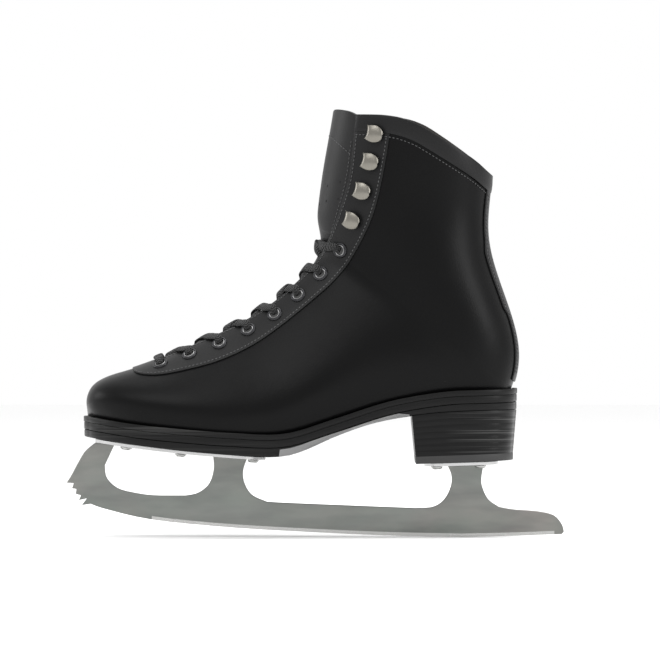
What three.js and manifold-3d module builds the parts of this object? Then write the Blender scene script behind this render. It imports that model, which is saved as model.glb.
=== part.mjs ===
// A leather figure skate with its blade, millimetres, +Z up.
// The toe points to -X and the heel to +X. The outer side of the foot is at -Y.
// z = 0 is the lowest point of the blade, and the origin lies under the middle of the whole skate.

import * as THREE from 'three';
import { mergeVertices } from 'three/addons/utils/BufferGeometryUtils.js';
import Module from 'manifold-3d';

const wasm = await Module();
wasm.setup();

// ---- Driving dimensions ----

// The pattern pieces are drawn for one size of foot. Every drawn point is graded from it to this skate's size.
const PATTERN_LENGTH = 330;
const PATTERN_WIDTH = 96;
const PATTERN_HEIGHT = 283.5;
const LENGTH = 330;
const WIDTH = 96;
const HEIGHT = 283.5;

const GAP = 0.3; // between pieces that touch
const UPPER_LEATHER = 1.8;
const FACING_LEATHER = 1.1;
const STAY_LEATHER = 1.3;
const LINING_LEATHER = 0.8;
const STIFFENER = 1.2; // toe puff and heel counter
const TONGUE_THICKNESS = 3.6;

const BOARD_THICKNESS = 2.2;
const FOOTBED_THICKNESS = 2.6;
const WELT_THICKNESS = 3;
const WELT_RIM = 9;
const MIDSOLE_THICKNESS = 4.6;
const SOLE_MARGIN = 2.5; // how far the sole stands out past the upper
const SHANK_WIDTH = 16;
const HEEL_CAP_THICKNESS = 5;

const BLADE_THICKNESS = 4;
const PLATE_THICKNESS = 2;
const SOLE_PLATE_WIDTH = 54;
const HEEL_PLATE_WIDTH = 46;
const SCREW_DIAMETER = 3.8;
const SCREW_HEAD_DIAMETER = 7.4;
const SCREW_HEAD_HEIGHT = 1.7;
const SCREW_LENGTH = 9;

const EYELET_FLANGE_DIAMETER = 10.4;
const EYELET_HOLE_DIAMETER = 6.2;
const EYELET_WALL = 0.45;
const EYELET_FLANGE_HEIGHT = 1.1;
const EYELET_CLINCH = 0.5;
const SEATING = 0.6; // under an eyelet's or a hook's base, which is flat on curved leather
const CLINCH_CLEARANCE = 0.7; // inside the curved leather, under the clinched rim

const HOOK_DIAMETER = 11.6;
const HOOK_SHEET = 1;
const HOOK_HEIGHT = 5.4;
const HOOK_RIVET_DIAMETER = 3.2;

const LACE_DIAMETER = 3; // round section of the same area as the flat braid
const AGLET_DIAMETER = 3.4;
const AGLET_LENGTH = 20;

const ROUND_SIDES = 8;
const TAU = 2 * Math.PI;

// ---- Pattern, graded to size ----

const gradeX = (x) => (x * LENGTH) / PATTERN_LENGTH;
const gradeY = (y) => (y * WIDTH) / PATTERN_WIDTH;
const gradeZ = (z) => (z * HEIGHT) / PATTERN_HEIGHT;
const point = (x, z) => new THREE.Vector2(gradeX(x), gradeZ(z));

// Each row is one girth section of the last: the front point (x, z), the back or seat point (x, z), the half width
// at its widest, the half width at the sole's seat, where it is widest from front to back, the roundness of its
// front and of its back, how far it leans to the inner side of the foot, and how flat its ridge is.
const SECTIONS = [
  [-151.5, 84.5, -151, 80.2, 1.5, 1, 0.5, 2, 2, 5, 0],
  [-152, 91, -146, 79.3, 18, 17, 0.6, 2.3, 2.3, 5, 0],
  [-148.5, 100, -137, 78, 29.2, 27.5, 0.62, 2.3, 2.4, 4.6, 0],
  [-139, 106.3, -126, 76.3, 36.6, 34.5, 0.64, 2.2, 2.4, 3.6, 0],
  [-122, 111.5, -112, 74.5, 42.5, 40, 0.67, 1.9, 2.4, 2.4, 0.06],
  [-100, 119.6, -88, 72.2, 46.4, 44, 0.72, 1.5, 2.4, 1, 0.22],
  [-72, 132.6, -55, 69.8, 47.4, 45.5, 0.76, 1.3, 2.4, 0, 0.28],
  [-42, 148, -20, 69.2, 44.6, 39, 0.76, 1.22, 2.3, -1, 0.28],
  [-16, 168, 14, 79.2, 41.4, 32, 0.72, 1.2, 2.2, -1.6, 0.28],
  [-4, 181, 52, 91, 39.8, 29.8, 0.64, 1.25, 2.2, -1.4, 0.28],
  [-0.5, 188, 88, 96.8, 39, 30.5, 0.6, 1.35, 2.2, -0.6, 0.26],
  [0.2, 192, 108, 97.6, 38.6, 28, 0.58, 1.42, 2.2, 0, 0.24],
  [0.5, 195, 122, 98, 38.4, 21, 0.56, 1.48, 2.2, 0, 0.22],
  [0.7, 197.5, 128.6, 98.4, 38.3, 11.5, 0.55, 1.52, 2.2, 0, 0.2],
  [0.9, 200, 131.2, 98.8, 38.2, 0, 0.54, 1.58, 2.2, 0, 0.18],
  [1.2, 206, 136.4, 118, 38, 0, 0.53, 1.7, 2.1, 0, 0.14],
  [1.6, 212, 132.4, 141, 37.6, 0, 0.52, 1.8, 2.05, 0, 0.1],
  [2.6, 221, 123, 167, 37, 0, 0.5, 1.9, 2, 0, 0.06],
  [4, 231, 115.4, 191, 36.6, 0, 0.49, 2, 2, 0, 0],
  [6, 245, 114.4, 211, 37, 0, 0.48, 2, 2, 0, 0],
  [9.3, 263, 116.8, 232, 38.4, 0, 0.48, 2, 2, 0, 0],
  [14.2, 290, 120, 264, 41, 0, 0.48, 2, 2, 0, 0],
];
const RIDGE_SQUARENESS = 4;
const HEEL_CORNER = 14; // the section whose back point is the rear end of the seat
const LAST_SECTION = SECTIONS.length - 1;

// Front edge of the facing, from the front of the throat up to the collar.
const THROAT_EDGE = [
  [-111, 117.5], [-104, 117.1], [-90, 122.6], [-72, 130.6], [-54, 138.8], [-37, 148.4], [-23, 158.4], [-9, 171.2],
  [1.4, 182.4], [9, 196.4], [16, 214.5], [22.5, 236], [25.6, 260], [27.8, 281],
];
// Rear edge of the facing, from the collar down and forward to the ridge of the toe.
const FACING_REAR = [
  [50.5, 281], [47, 252], [38.5, 214], [24.5, 185], [12.9, 170], [0.3, 158.4], [-22.8, 139.6], [-42, 126.6],
  [-64, 116.6], [-87, 110.4], [-103, 107.6], [-115, 108], [-120.6, 111], [-121.5, 118],
];
const COLLAR = [[-20, 279.4], [29, 279.2], [49, 277.9], [63, 274.2], [76.4, 267.2], [103, 250.6], [117, 239.4], [140, 226]];
const STAY_FRONT = [
  [114.6, 250], [113.2, 227], [111.8, 200], [112.8, 178], [117.2, 163.6], [129.4, 142.6], [134.6, 125], [131.6, 104],
  [129.6, 97],
];
const SOLE_BOTTOM = [
  [-156, 67], [-118, 61.6], [-86, 57.8], [-52, 55], [-34, 53.8], [-18, 54.6], [-4, 59], [14, 67.2], [37, 75.4],
  [62, 80.4], [90, 83.4], [136, 84.6],
];
const EYELET_PLACES = [
  [-102.1, 115], [-82.9, 121.4], [-63.1, 128.6], [-44.3, 137.6], [-26.7, 147.8], [-11.3, 160.4], [3.6, 174.4],
  [16.5, 189.8],
];
const HOOK_PLACES = [[25.1, 209.2], [31.7, 228.4], [36.8, 247.7], [39.8, 266]];

const curveThrough = (list) => new THREE.SplineCurve(list.map(([x, z]) => point(x, z)));
const throatEdge = curveThrough(THROAT_EDGE).getPoints(26);
const facingRear = curveThrough(FACING_REAR).getPoints(13);
const collar = curveThrough(COLLAR).getPoints(7);
const stayFront = curveThrough(STAY_FRONT).getPoints(14);
const soleBottomLine = curveThrough(SOLE_BOTTOM).getPoints(44);

// ---- The last: one smooth form that every leather piece follows ----

// Sections stand far apart in places, so the curve through them is paced by the distances between them.
const PACES = SECTIONS.slice(1).map((row, i) => {
  const last = SECTIONS[i];
  return Math.sqrt(Math.hypot(row[0] - last[0], row[1] - last[1]) + Math.hypot(row[2] - last[2], row[3] - last[3]));
});

function sectionAt(s) {
  const i = Math.min(Math.max(Math.floor(s), 0), LAST_SECTION - 1);
  const f = s - i;
  const row = (k) => SECTIONS[Math.min(Math.max(k, 0), LAST_SECTION)];
  const pace = PACES[i];
  const before = PACES[Math.max(i - 1, 0)];
  const after = PACES[Math.min(i + 1, LAST_SECTION - 1)];
  const mix = SECTIONS[0].map((_, c) => {
    const [a, b, d, e] = [row(i - 1)[c], row(i)[c], row(i + 1)[c], row(i + 2)[c]];
    const slope = (d - b) / pace;
    const start = pace * ((((b - a) / before) * pace + slope * before) / (pace + before));
    const end = pace * ((slope * after + ((e - d) / after) * pace) / (pace + after));
    return b + f * (start + f * (3 * (d - b) - 2 * start - end + f * (2 * (b - d) + start + end)));
  });
  const closed = s >= HEEL_CORNER;
  return {
    front: point(mix[0], mix[1]),
    back: point(mix[2], mix[3]),
    wide: gradeY(mix[4]),
    seat: closed ? 0 : Math.max(gradeY(mix[5]), 0),
    widest: mix[6],
    frontRound: mix[7],
    backRound: mix[8],
    lean: gradeY(mix[9]),
    flatRidge: mix[10],
  };
}

// The angle round a section at which it meets the sole's seat, or a half turn where the back is closed.
function seatAngle(k) {
  return k.seat > 0 ? Math.PI - Math.asin((k.seat / k.wide) ** (k.backRound / 2)) : Math.PI;
}

function formPoint(s, angle, side) {
  const k = sectionAt(s);
  const sine = Math.max(Math.sin(angle), 0);
  let along;
  let half;
  if (angle <= Math.PI / 2) {
    const left = Math.max(Math.cos(angle), 0);
    const arch = (round) => (1 - left ** round) ** (1 / round);
    along = k.widest * (1 - left);
    half = k.wide * (k.flatRidge * arch(RIDGE_SQUARENESS) + (1 - k.flatRidge) * arch(k.frontRound));
  } else {
    const reach = (1 - k.widest) / (1 - (k.seat / k.wide) ** k.backRound) ** (1 / k.backRound);
    along = k.widest + reach * (-Math.cos(angle)) ** (2 / k.backRound);
    half = k.wide * sine ** (2 / k.backRound);
  }
  const flat = k.front.clone().lerp(k.back, along);
  return new THREE.Vector3(flat.x, k.lean + side * half, flat.y);
}

function formNormal(s, angle, side) {
  const step = 0.02;
  const ds = formPoint(Math.min(s + step, LAST_SECTION), angle, side)
    .sub(formPoint(Math.max(s - step, 0), angle, side));
  const low = angle - step;
  const high = angle + step;
  const before = low < 0 ? formPoint(s, -low, -side) : formPoint(s, low, side);
  const after = high > Math.PI ? formPoint(s, TAU - high, -side) : formPoint(s, high, side);
  const normal = ds.cross(after.sub(before)).normalize();
  const k = sectionAt(s);
  const middle = k.front.clone().lerp(k.back, k.widest);
  const out = formPoint(s, angle, side).sub(new THREE.Vector3(middle.x, k.lean, middle.y));
  return normal.dot(out) < 0 ? normal.negate() : normal;
}

// A point of the form moved outwards by a distance, which may be a function of the unmoved point.
function leatherPoint(s, angle, side, offset) {
  const p = formPoint(s, angle, side);
  const distance = typeof offset === 'function' ? offset(p) : offset;
  const moved = p.addScaledVector(formNormal(s, angle, side), distance);
  if (angle < 1e-6 || (angle > Math.PI - 1e-6 && s >= HEEL_CORNER)) moved.y = sectionAt(s).lean;
  return moved;
}

// Where on one side of the form the point seen at (x, z) from the side is, at an offset.
function locate(x, z, side, offset) {
  let best = { error: Infinity };
  for (let s = 1; s < LAST_SECTION; s += 0.5) {
    for (let angle = 0.1; angle < 1.6; angle += 0.1) {
      const p = leatherPoint(s, angle, side, offset);
      const error = Math.hypot(p.x - x, p.z - z);
      if (error < best.error) best = { s, angle, error };
    }
  }
  let { s, angle } = best;
  const step = 1e-3;
  for (let round = 0; round < 12; round += 1) {
    const p = leatherPoint(s, angle, side, offset);
    const a = leatherPoint(s + step, angle, side, offset).sub(p).divideScalar(step);
    const b = leatherPoint(s, angle + step, side, offset).sub(p).divideScalar(step);
    const det = a.x * b.z - b.x * a.z;
    const ex = x - p.x;
    const ez = z - p.z;
    s += (ex * b.z - b.x * ez) / det;
    angle += (a.x * ez - ex * a.z) / det;
    s = Math.min(Math.max(s, 0.1), LAST_SECTION - 0.1);
    angle = Math.min(Math.max(angle, 0.05), 1.7);
  }
  return { s, angle };
}

// ---- Solids ----

function solid(geometry) {
  const bare = geometry.clone();
  bare.deleteAttribute('normal');
  bare.deleteAttribute('uv');
  const merged = mergeVertices(bare, 1e-4);
  const index = merged.index.array;
  const kept = [];
  for (let i = 0; i < index.length; i += 3) {
    const [a, b, c] = [index[i], index[i + 1], index[i + 2]];
    if (a !== b && b !== c && c !== a) kept.push(a, b, c);
  }
  const mesh = new wasm.Mesh({
    numProp: 3,
    vertProperties: new Float32Array(merged.attributes.position.array),
    triVerts: new Uint32Array(kept),
  });
  return new wasm.Manifold(mesh);
}

function surfaceOf(manifold) {
  const mesh = manifold.getMesh();
  const geometry = new THREE.BufferGeometry();
  geometry.setAttribute('position', new THREE.BufferAttribute(new Float32Array(mesh.vertProperties), 3));
  geometry.setIndex(new THREE.BufferAttribute(new Uint32Array(mesh.triVerts), 1));
  return geometry;
}

function fromTriangles(points, triangles) {
  const geometry = new THREE.BufferGeometry();
  geometry.setAttribute('position', new THREE.Float32BufferAttribute(points.flatMap((p) => p.toArray()), 3));
  geometry.setIndex(triangles);
  let volume = 0;
  for (let i = 0; i < triangles.length; i += 3) {
    const [a, b, c] = [0, 1, 2].map((k) => points[triangles[i + k]]);
    volume += a.dot(b.clone().cross(c));
  }
  if (volume < 0) {
    for (let i = 0; i < triangles.length; i += 3) {
      [triangles[i], triangles[i + 1]] = [triangles[i + 1], triangles[i]];
    }
    geometry.setIndex(triangles);
  }
  return geometry;
}

// A closed loft through rings of points, every ring with as many points, closed by a fan at both ends.
function loft(rings) {
  const count = rings[0].length;
  const points = rings.flat();
  const triangles = [];
  for (let i = 0; i + 1 < rings.length; i += 1) {
    for (let j = 0; j < count; j += 1) {
      const a = i * count + j;
      const b = i * count + ((j + 1) % count);
      triangles.push(a, b, b + count, a, b + count, a + count);
    }
  }
  const end = (rings.length - 1) * count;
  for (let j = 1; j + 1 < count; j += 1) {
    triangles.push(0, j + 1, j, end, end + j, end + j + 1);
  }
  return fromTriangles(points, triangles);
}

// A prism across the skate, from y0 to y1, over an outline drawn in side view.
function sidePrism(outline, y0, y1) {
  const geometry = new THREE.ExtrudeGeometry(new THREE.Shape(outline), { depth: y1 - y0, bevelEnabled: false });
  return geometry.rotateX(Math.PI / 2).translate(0, y1, 0);
}

const ACROSS = WIDTH;
const across = (outline) => solid(sidePrism(outline, -ACROSS, ACROSS));

// ---- Leather shells ----

const SECTION_STEPS = [
  0, 0.5, 1, 1.7, 2.5, 3.3, 4.2, 5, 6, 7, 7.7, 8.5, 9.5, 11, 12, 13, 14, 14.5, 15, 16, 17, 18, 19.2, 21,
];
const GIRTH_STEPS = [0, 0.07, 0.14, 0.21, 0.29, 0.37, 0.5, 0.67, 0.84, 1];
const CORNER_STEP = SECTION_STEPS.indexOf(HEEL_CORNER);

// The closed volume of the form at an offset. A skirt carries its seat edges straight down, so that it cuts
// through the seat of a larger volume.
function formVolume(offset, skirt = 0) {
  const columns = [...GIRTH_STEPS.slice(1).reverse().map((t) => [t, -1]), ...GIRTH_STEPS.map((t) => [t, 1])];
  const rings = SECTION_STEPS.map((s) => {
    const limit = seatAngle(sectionAt(s));
    return columns.map(([t, side]) => leatherPoint(s, t * limit, side, offset));
  });
  const count = columns.length;
  const points = rings.flat();
  const triangles = [];
  const quad = (a, b, c, d) => triangles.push(a, b, c, a, c, d);
  for (let i = 0; i + 1 < rings.length; i += 1) {
    for (let j = 0; j + 1 < count; j += 1) {
      quad(i * count + j, i * count + j + 1, (i + 1) * count + j + 1, (i + 1) * count + j);
    }
  }
  const left = [];
  const right = [];
  for (let i = 0; i <= CORNER_STEP; i += 1) {
    const a = rings[i][0];
    const b = rings[i][count - 1];
    left.push(points.push(a.clone().setZ(a.z - skirt)) - 1);
    right.push(points.push(b.clone().setZ(b.z - skirt)) - 1);
  }
  for (let i = 0; i < CORNER_STEP; i += 1) {
    quad(left[i], i * count, (i + 1) * count, left[i + 1]);
    quad(right[i + 1], (i + 2) * count - 1, (i + 1) * count - 1, right[i]);
    quad(left[i], left[i + 1], right[i + 1], right[i]);
  }
  const toe = [...Array(count).keys(), right[0], left[0]];
  for (let j = 1; j + 1 < toe.length; j += 1) triangles.push(toe[0], toe[j + 1], toe[j]);
  const top = (rings.length - 1) * count;
  for (let j = 1; j + 1 < count; j += 1) triangles.push(top, top + j, top + j + 1);
  return solid(fromTriangles(points, triangles));
}

const SKIRT = 12;
const above = (line, reach) => [
  ...line, new THREE.Vector2(line.at(-1).x, gradeZ(reach)), new THREE.Vector2(line[0].x, gradeZ(reach)),
];

// The part of the throat's outline that the facing's front edge bounds, out past the front of the shaft.
const throatRegion = [
  ...throatEdge,
  point(27.8, 330),
  point(-111, 330),
];
const collarCut = across(above(collar, 340));

function insideOutline(outline, x, z) {
  let inside = false;
  for (let i = 0, j = outline.length - 1; i < outline.length; j = i, i += 1) {
    const a = outline[i];
    const b = outline[j];
    if (a.y > z !== b.y > z && x < ((b.x - a.x) * (z - a.y)) / (b.y - a.y) + a.x) inside = !inside;
  }
  return inside;
}

// The angle at which a section of the last meets the throat's edge, and the throat's half width there.
function throatAngle(s) {
  let low = 0.02;
  let high = 1.5;
  for (let i = 0; i < 30; i += 1) {
    const middle = (low + high) / 2;
    const p = formPoint(s, middle, 1);
    if (insideOutline(throatRegion, p.x, p.z)) low = middle;
    else high = middle;
  }
  return low;
}
const throatHalf = (s) => formPoint(s, throatAngle(s), 1).y - sectionAt(s).lean;

// Everything between the two edges of the throat, cut square to the leather.
const THROAT_STEPS = [4.62, 4.8, 5.3, 6, 6.8, 7.6, 8.4, 9.4, 12, 14, 15, 16.4, 18, 19.5, 21];
function throatWedge() {
  const reach = 8;
  return solid(loft(THROAT_STEPS.map((s) => {
    const angle = throatAngle(s);
    const at = (side, offset) => leatherPoint(s, angle, side, offset);
    const ridge = leatherPoint(s, 0, 1, 3 * reach);
    return [at(-1, reach), at(-1, 0), at(-1, -reach), at(1, -reach), at(1, 0), at(1, reach), ridge];
  })));
}

// A frame on the leather: place, outward normal, and the direction towards the throat.
function leatherFrame([x, z], side, offset) {
  const at = point(x, z);
  const { s, angle } = locate(at.x, at.y, side, offset);
  const place = leatherPoint(s, angle, side, offset);
  const normal = formNormal(s, angle, side);
  const towards = formPoint(s, angle - 0.01, side).sub(formPoint(s, angle, side));
  towards.addScaledVector(normal, -towards.dot(normal)).normalize();
  const sideways = normal.clone().cross(towards);
  const matrix = new THREE.Matrix4().makeBasis(towards, sideways, normal).setPosition(place);
  return { matrix, place, normal, towards, s };
}

const FACING_TOP = GAP + FACING_LEATHER;
const SIDES = [[-1, 'left'], [1, 'right']];
const eyeletFrames = SIDES.map(([side]) => EYELET_PLACES.map((at) => leatherFrame(at, side, FACING_TOP)));
const hookFrames = SIDES.map(([side]) => HOOK_PLACES.map((at) => leatherFrame(at, side, FACING_TOP)));

function turned(profile, sides = ROUND_SIDES) {
  // A LatheGeometry turns about Y; the piece's own axis is Z, its outward normal.
  const geometry = new THREE.LatheGeometry(profile.map(([r, h]) => new THREE.Vector2(r, h)), sides);
  return geometry.rotateX(Math.PI / 2);
}

const drill = (radius, low, high) => turned([[0, low], [radius, low], [radius, high], [0, high]]);

const EYELET_BARREL = EYELET_HOLE_DIAMETER / 2 + EYELET_WALL;
const leatherDepth = UPPER_LEATHER + GAP + FACING_LEATHER;
const eyeletDrill = drill(EYELET_BARREL + GAP, -leatherDepth - 3, 3);
const hookDrill = drill(HOOK_RIVET_DIAMETER / 2 + GAP, -leatherDepth - 3, 3);

let lacingHoles = null;
for (const [frames, cutter] of [[eyeletFrames.flat(), eyeletDrill], [hookFrames.flat(), hookDrill]]) {
  for (const frame of frames) {
    const hole = solid(cutter.clone().applyMatrix4(frame.matrix));
    lacingHoles = lacingHoles ? lacingHoles.add(hole) : hole;
  }
}

const outer = formVolume(0);
const upperInner = formVolume(-UPPER_LEATHER, SKIRT);
const throatCut = throatWedge();
const upper = outer.subtract(upperInner).subtract(throatCut).subtract(collarCut).subtract(lacingHoles);

const facingShell = formVolume(FACING_TOP).subtract(formVolume(GAP));
const facingOutline = [...facingRear, point(-121.5, 330), point(50.5, 330)];
const facing = facingShell.intersect(across(facingOutline)).subtract(throatCut).subtract(collarCut).subtract(lacingHoles);

const stayShell = formVolume(GAP + STAY_LEATHER).subtract(formVolume(GAP));
const stayOutline = [...stayFront, point(160, 97), point(160, 250)];
const backStay = stayShell.intersect(across(stayOutline)).subtract(collarCut)
  .subtract(across([point(100, 90), point(160, 90), point(160, 100.4), point(100, 100.4)]));

// The lining lies against the upper and bends inwards round the toe puff and the heel counter.
const ease = (a, b, v) => THREE.MathUtils.smoothstep(v, Math.min(a, b), Math.max(a, b));
const PUFF_EDGE = gradeX(-98);
const COUNTER_FRONT = gradeX(62);
const COUNTER_TOP = gradeZ(160);
const BEND = 12;
const stiffened = (p) => {
  const toe = 1 - ease(PUFF_EDGE, PUFF_EDGE + BEND, p.x);
  const heel = ease(COUNTER_FRONT - BEND, COUNTER_FRONT, p.x) * (1 - ease(COUNTER_TOP, COUNTER_TOP + BEND, p.z));
  return Math.max(toe, heel);
};
const stiffenerOut = -(UPPER_LEATHER + GAP);
const stiffenerIn = stiffenerOut - STIFFENER;
const liningOut = (p) => stiffenerOut - (STIFFENER + GAP) * stiffened(p);
const liningIn = (p) => liningOut(p) - LINING_LEATHER;

// Heights above the sole's seat: the insole board, then the footbed and the lower edge of the lining.
const seatLine = SECTION_STEPS.slice(0, CORNER_STEP + 1).map((s) => sectionAt(s).back);
const seatAbove = (height) => [
  new THREE.Vector2(seatLine[0].x - 30, seatLine[0].y + height),
  ...seatLine.map((p) => new THREE.Vector2(p.x, p.y + height)),
  new THREE.Vector2(seatLine.at(-1).x + 30, seatLine.at(-1).y + height),
];
const below = (line) => [
  ...line, new THREE.Vector2(line.at(-1).x, 0), new THREE.Vector2(line[0].x, 0),
];
const BOARD_TOP = GAP + BOARD_THICKNESS;
const seatCut = across(below(seatAbove(BOARD_TOP + GAP)));

const stiffeners = formVolume(stiffenerOut).subtract(formVolume(stiffenerIn, SKIRT)).subtract(seatCut);
const toePuff = stiffeners.intersect(across([
  point(-160, 60), point(-106, 60), point(-113, 130), point(-160, 130),
]));
const heelCounter = stiffeners.intersect(across([
  point(84, 80), point(150, 80), point(150, 139), point(118, 139), point(92, 126),
]));

// The lining stops behind the rows of eyelets and hooks, where the facing is backed by the upper alone.
const LINING_EDGE = [
  [-112, 122], [-112, 99], [-84, 107.4], [-60, 112], [-38, 121], [-18, 134], [4, 152], [24, 171], [37, 200], [46, 232],
  [52, 262], [53, 300],
];
const liningThroat = across([...curveThrough(LINING_EDGE).getPoints(14), point(-112, 300)]);
const lining = formVolume(liningOut).subtract(formVolume(liningIn, SKIRT))
  .subtract(seatCut).subtract(collarCut).subtract(liningThroat);

// ---- Soles and heel: slabs that follow the seat's outline ----

const SEAT_STEPS = [...SECTION_STEPS.filter((s) => s <= HEEL_CORNER), 0.25, 6.5, 9, 10.2, 12.5, 13.5, 13.8].sort((a, b) => a - b);

function heightOn(line, x) {
  let i = 0;
  while (i + 2 < line.length && line[i + 1].x < x) i += 1;
  const f = (x - line[i].x) / (line[i + 1].x - line[i].x);
  return line[i].y + f * (line[i + 1].y - line[i].y);
}
const seatHeight = (x) => heightOn(seatAbove(0), x);
const soleBottom = (x) => heightOn(soleBottomLine, x);

function seatEdge(s, side, margin) {
  const at = (v) => {
    const k = sectionAt(v);
    return new THREE.Vector2(k.back.x, k.lean + side * k.seat);
  };
  const step = 0.05;
  const edge = at(s);
  const along = s >= HEEL_CORNER ? new THREE.Vector2(0, -side) : at(Math.min(s + step, HEEL_CORNER - 1e-3))
    .sub(at(Math.max(s - step, 0)));
  const normal = new THREE.Vector2(-along.y, along.x).multiplyScalar(side).normalize();
  return edge.addScaledVector(normal, margin);
}

// A slab under or over the seat. margins are [top, bottom] distances outside the seat's outline, and lean moves
// the bottom edge along X.
function slab(margins, top, bottom, from, to, lean = () => 0) {
  const steps = [from, ...SEAT_STEPS.filter((s) => s > from + 0.05 && s < to - 0.05), to];
  const rings = steps.map((s) => {
    const [a, b] = [-1, 1].map((side) => seatEdge(s, side, margins[0]));
    const [c, d] = [-1, 1].map((side) => seatEdge(s, side, margins[1]));
    return [
      new THREE.Vector3(a.x, a.y, top(a.x)),
      new THREE.Vector3(b.x, b.y, top(b.x)),
      new THREE.Vector3(d.x + lean(d.x), d.y, bottom(d.x)),
      new THREE.Vector3(c.x + lean(c.x), c.y, bottom(c.x)),
    ];
  });
  return solid(loft(rings));
}

function sectionOver(x) {
  let low = 0;
  let high = HEEL_CORNER;
  for (let i = 0; i < 40; i += 1) {
    const middle = (low + high) / 2;
    if (sectionAt(middle).back.x < gradeX(x)) low = middle;
    else high = middle;
  }
  return low;
}

const lower = (height, drop) => (x) => height(x) - drop;
const weltTop = 2 * GAP;
const weltBottom = weltTop + WELT_THICKNESS;
const midsoleTop = weltBottom + GAP;
const midsoleBottom = midsoleTop + MIDSOLE_THICKNESS;
const outsoleTop = midsoleBottom + GAP;
const SOLE = [SOLE_MARGIN, SOLE_MARGIN];
const END = HEEL_CORNER;

const weltSlab = slab(SOLE, lower(seatHeight, weltTop), lower(seatHeight, weltBottom), 0, END);
const rimInner = SOLE_MARGIN - WELT_RIM;
const cavity = slab([rimInner, rimInner], lower(seatHeight, -2), lower(seatHeight, weltBottom + 2), 0.7, 13.5);
const welt = weltSlab.subtract(cavity);
const fillIn = rimInner - GAP;
const FILL = [fillIn, fillIn];
const corkFiller = slab(FILL, lower(seatHeight, weltTop), lower(seatHeight, weltBottom), 1, 6);
const midsole = slab(SOLE, lower(seatHeight, midsoleTop), lower(seatHeight, midsoleBottom), 0, END);
const outsoleBlank = slab([SOLE_MARGIN, SOLE_MARGIN - 1], lower(seatHeight, outsoleTop), soleBottom, 0, END);

const boardMargin = -(UPPER_LEATHER + 7 * GAP);
const insoleBoard = slab(
  [boardMargin, boardMargin], lower(seatHeight, -BOARD_TOP), lower(seatHeight, -GAP), 0, END,
);
const bedMargin = -(UPPER_LEATHER + STIFFENER + LINING_LEATHER + 12 * GAP);
const bedBottom = BOARD_TOP + GAP;
const bedTop = bedBottom + FOOTBED_THICKNESS;
const footbed = slab([bedMargin, bedMargin], lower(seatHeight, -bedTop), lower(seatHeight, -bedBottom), 0.4, 13.6);

function bar(xs, half, top, bottom) {
  return solid(loft(xs.map((x) => {
    const w = half(x);
    return [
      new THREE.Vector3(x, -w, top(x)), new THREE.Vector3(x, w, top(x)),
      new THREE.Vector3(x, w, bottom(x)), new THREE.Vector3(x, -w, bottom(x)),
    ];
  })));
}
const spread = (from, to, count) => Array.from({ length: count + 1 }, (_, i) => from + ((to - from) * i) / count);

const SHANK_THICKNESS = 1.6;
const shank = bar(
  spread(gradeX(-42), gradeX(84), 12), () => SHANK_WIDTH / 2,
  lower(seatHeight, weltTop + GAP), lower(seatHeight, weltTop + GAP + SHANK_THICKNESS),
);

const capBottom = (x) => gradeZ(49.2) + ((x - gradeX(66.7)) * gradeZ(2)) / gradeX(64.4);
const capTop = (x) => capBottom(x) + HEEL_CAP_THICKNESS;
const HEEL_FRONT = sectionOver(63.7);
const heelShare = (x) => (x - gradeX(64)) / gradeX(69);
const heelLean = (x) => gradeX(2.6) - heelShare(x) * gradeX(3.4);
const heelBlank = slab([SOLE_MARGIN - 0.2, 0.6], lower(soleBottom, GAP), lower(capTop, -GAP), HEEL_FRONT, END, heelLean);
const heelCapBlank = slab([0, -0.3], capTop, capBottom, sectionOver(66.4), END);

// ---- Blade, plates and screws ----

const soleSlope = (line, x) => Math.atan2(line(x + 2) - line(x - 2), 4);
const platePlaces = {
  sole: { from: gradeX(-145.5), to: gradeX(-33), half: SOLE_PLATE_WIDTH / 2, under: soleBottom, steps: 14 },
  heel: { from: gradeX(72.4), to: gradeX(121), half: HEEL_PLATE_WIDTH / 2, under: capBottom, steps: 8 },
};
const PLATE_GAP = GAP + 0.1;

// A plate whose ends are round in plan and whose sides draw in at the waist.
function plateBlank({ from, to, half, under, steps }) {
  const middle = (from + to) / 2;
  const reach = (to - from) / 2;
  const xs = spread(-1, 1, steps).map((u) => middle + reach * Math.sin((u * Math.PI) / 2));
  const width = (x) => {
    const u = Math.abs((x - middle) / reach);
    const waist = 0.82 + 0.18 * Math.min(u / 0.6, 1) ** 2;
    return Math.max(half * waist * Math.sqrt(Math.max(1 - u ** 5, 0)), half * 0.3);
  };
  return bar(xs, width, lower(under, PLATE_GAP), lower(under, PLATE_GAP + PLATE_THICKNESS));
}

const SOLE_SCREWS = [[-125, 15], [-89, 18], [-41, 14]];
const HEEL_SCREWS = [[80.5, 14], [109.5, 14]];
function screwFrames(list, { under }) {
  return list.flatMap(([x, y]) => [-1, 1].map((side) => {
    const at = gradeX(x);
    const tilt = new THREE.Matrix4().makeRotationY(-soleSlope(under, at));
    const seat = under(at) - PLATE_GAP - PLATE_THICKNESS - GAP;
    return new THREE.Matrix4().makeTranslation(at, side * gradeY(y), seat).multiply(tilt);
  }));
}
const soleScrewFrames = screwFrames(SOLE_SCREWS, platePlaces.sole);
const heelScrewFrames = screwFrames(HEEL_SCREWS, platePlaces.heel);
const screwRadius = SCREW_DIAMETER / 2;
const screwHole = drill(screwRadius + GAP, -4, SCREW_LENGTH + PLATE_THICKNESS + 2);
function drilled(blank, frames) {
  let result = blank;
  for (const frame of frames) result = result.subtract(solid(screwHole.clone().applyMatrix4(frame)));
  return result;
}
const outsole = drilled(outsoleBlank, soleScrewFrames);
const midsoleDrilled = drilled(midsole, soleScrewFrames);
const solePlate = drilled(plateBlank(platePlaces.sole), soleScrewFrames);
const heelPlate = drilled(plateBlank(platePlaces.heel), heelScrewFrames);
const heelCap = drilled(heelCapBlank, heelScrewFrames);
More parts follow.
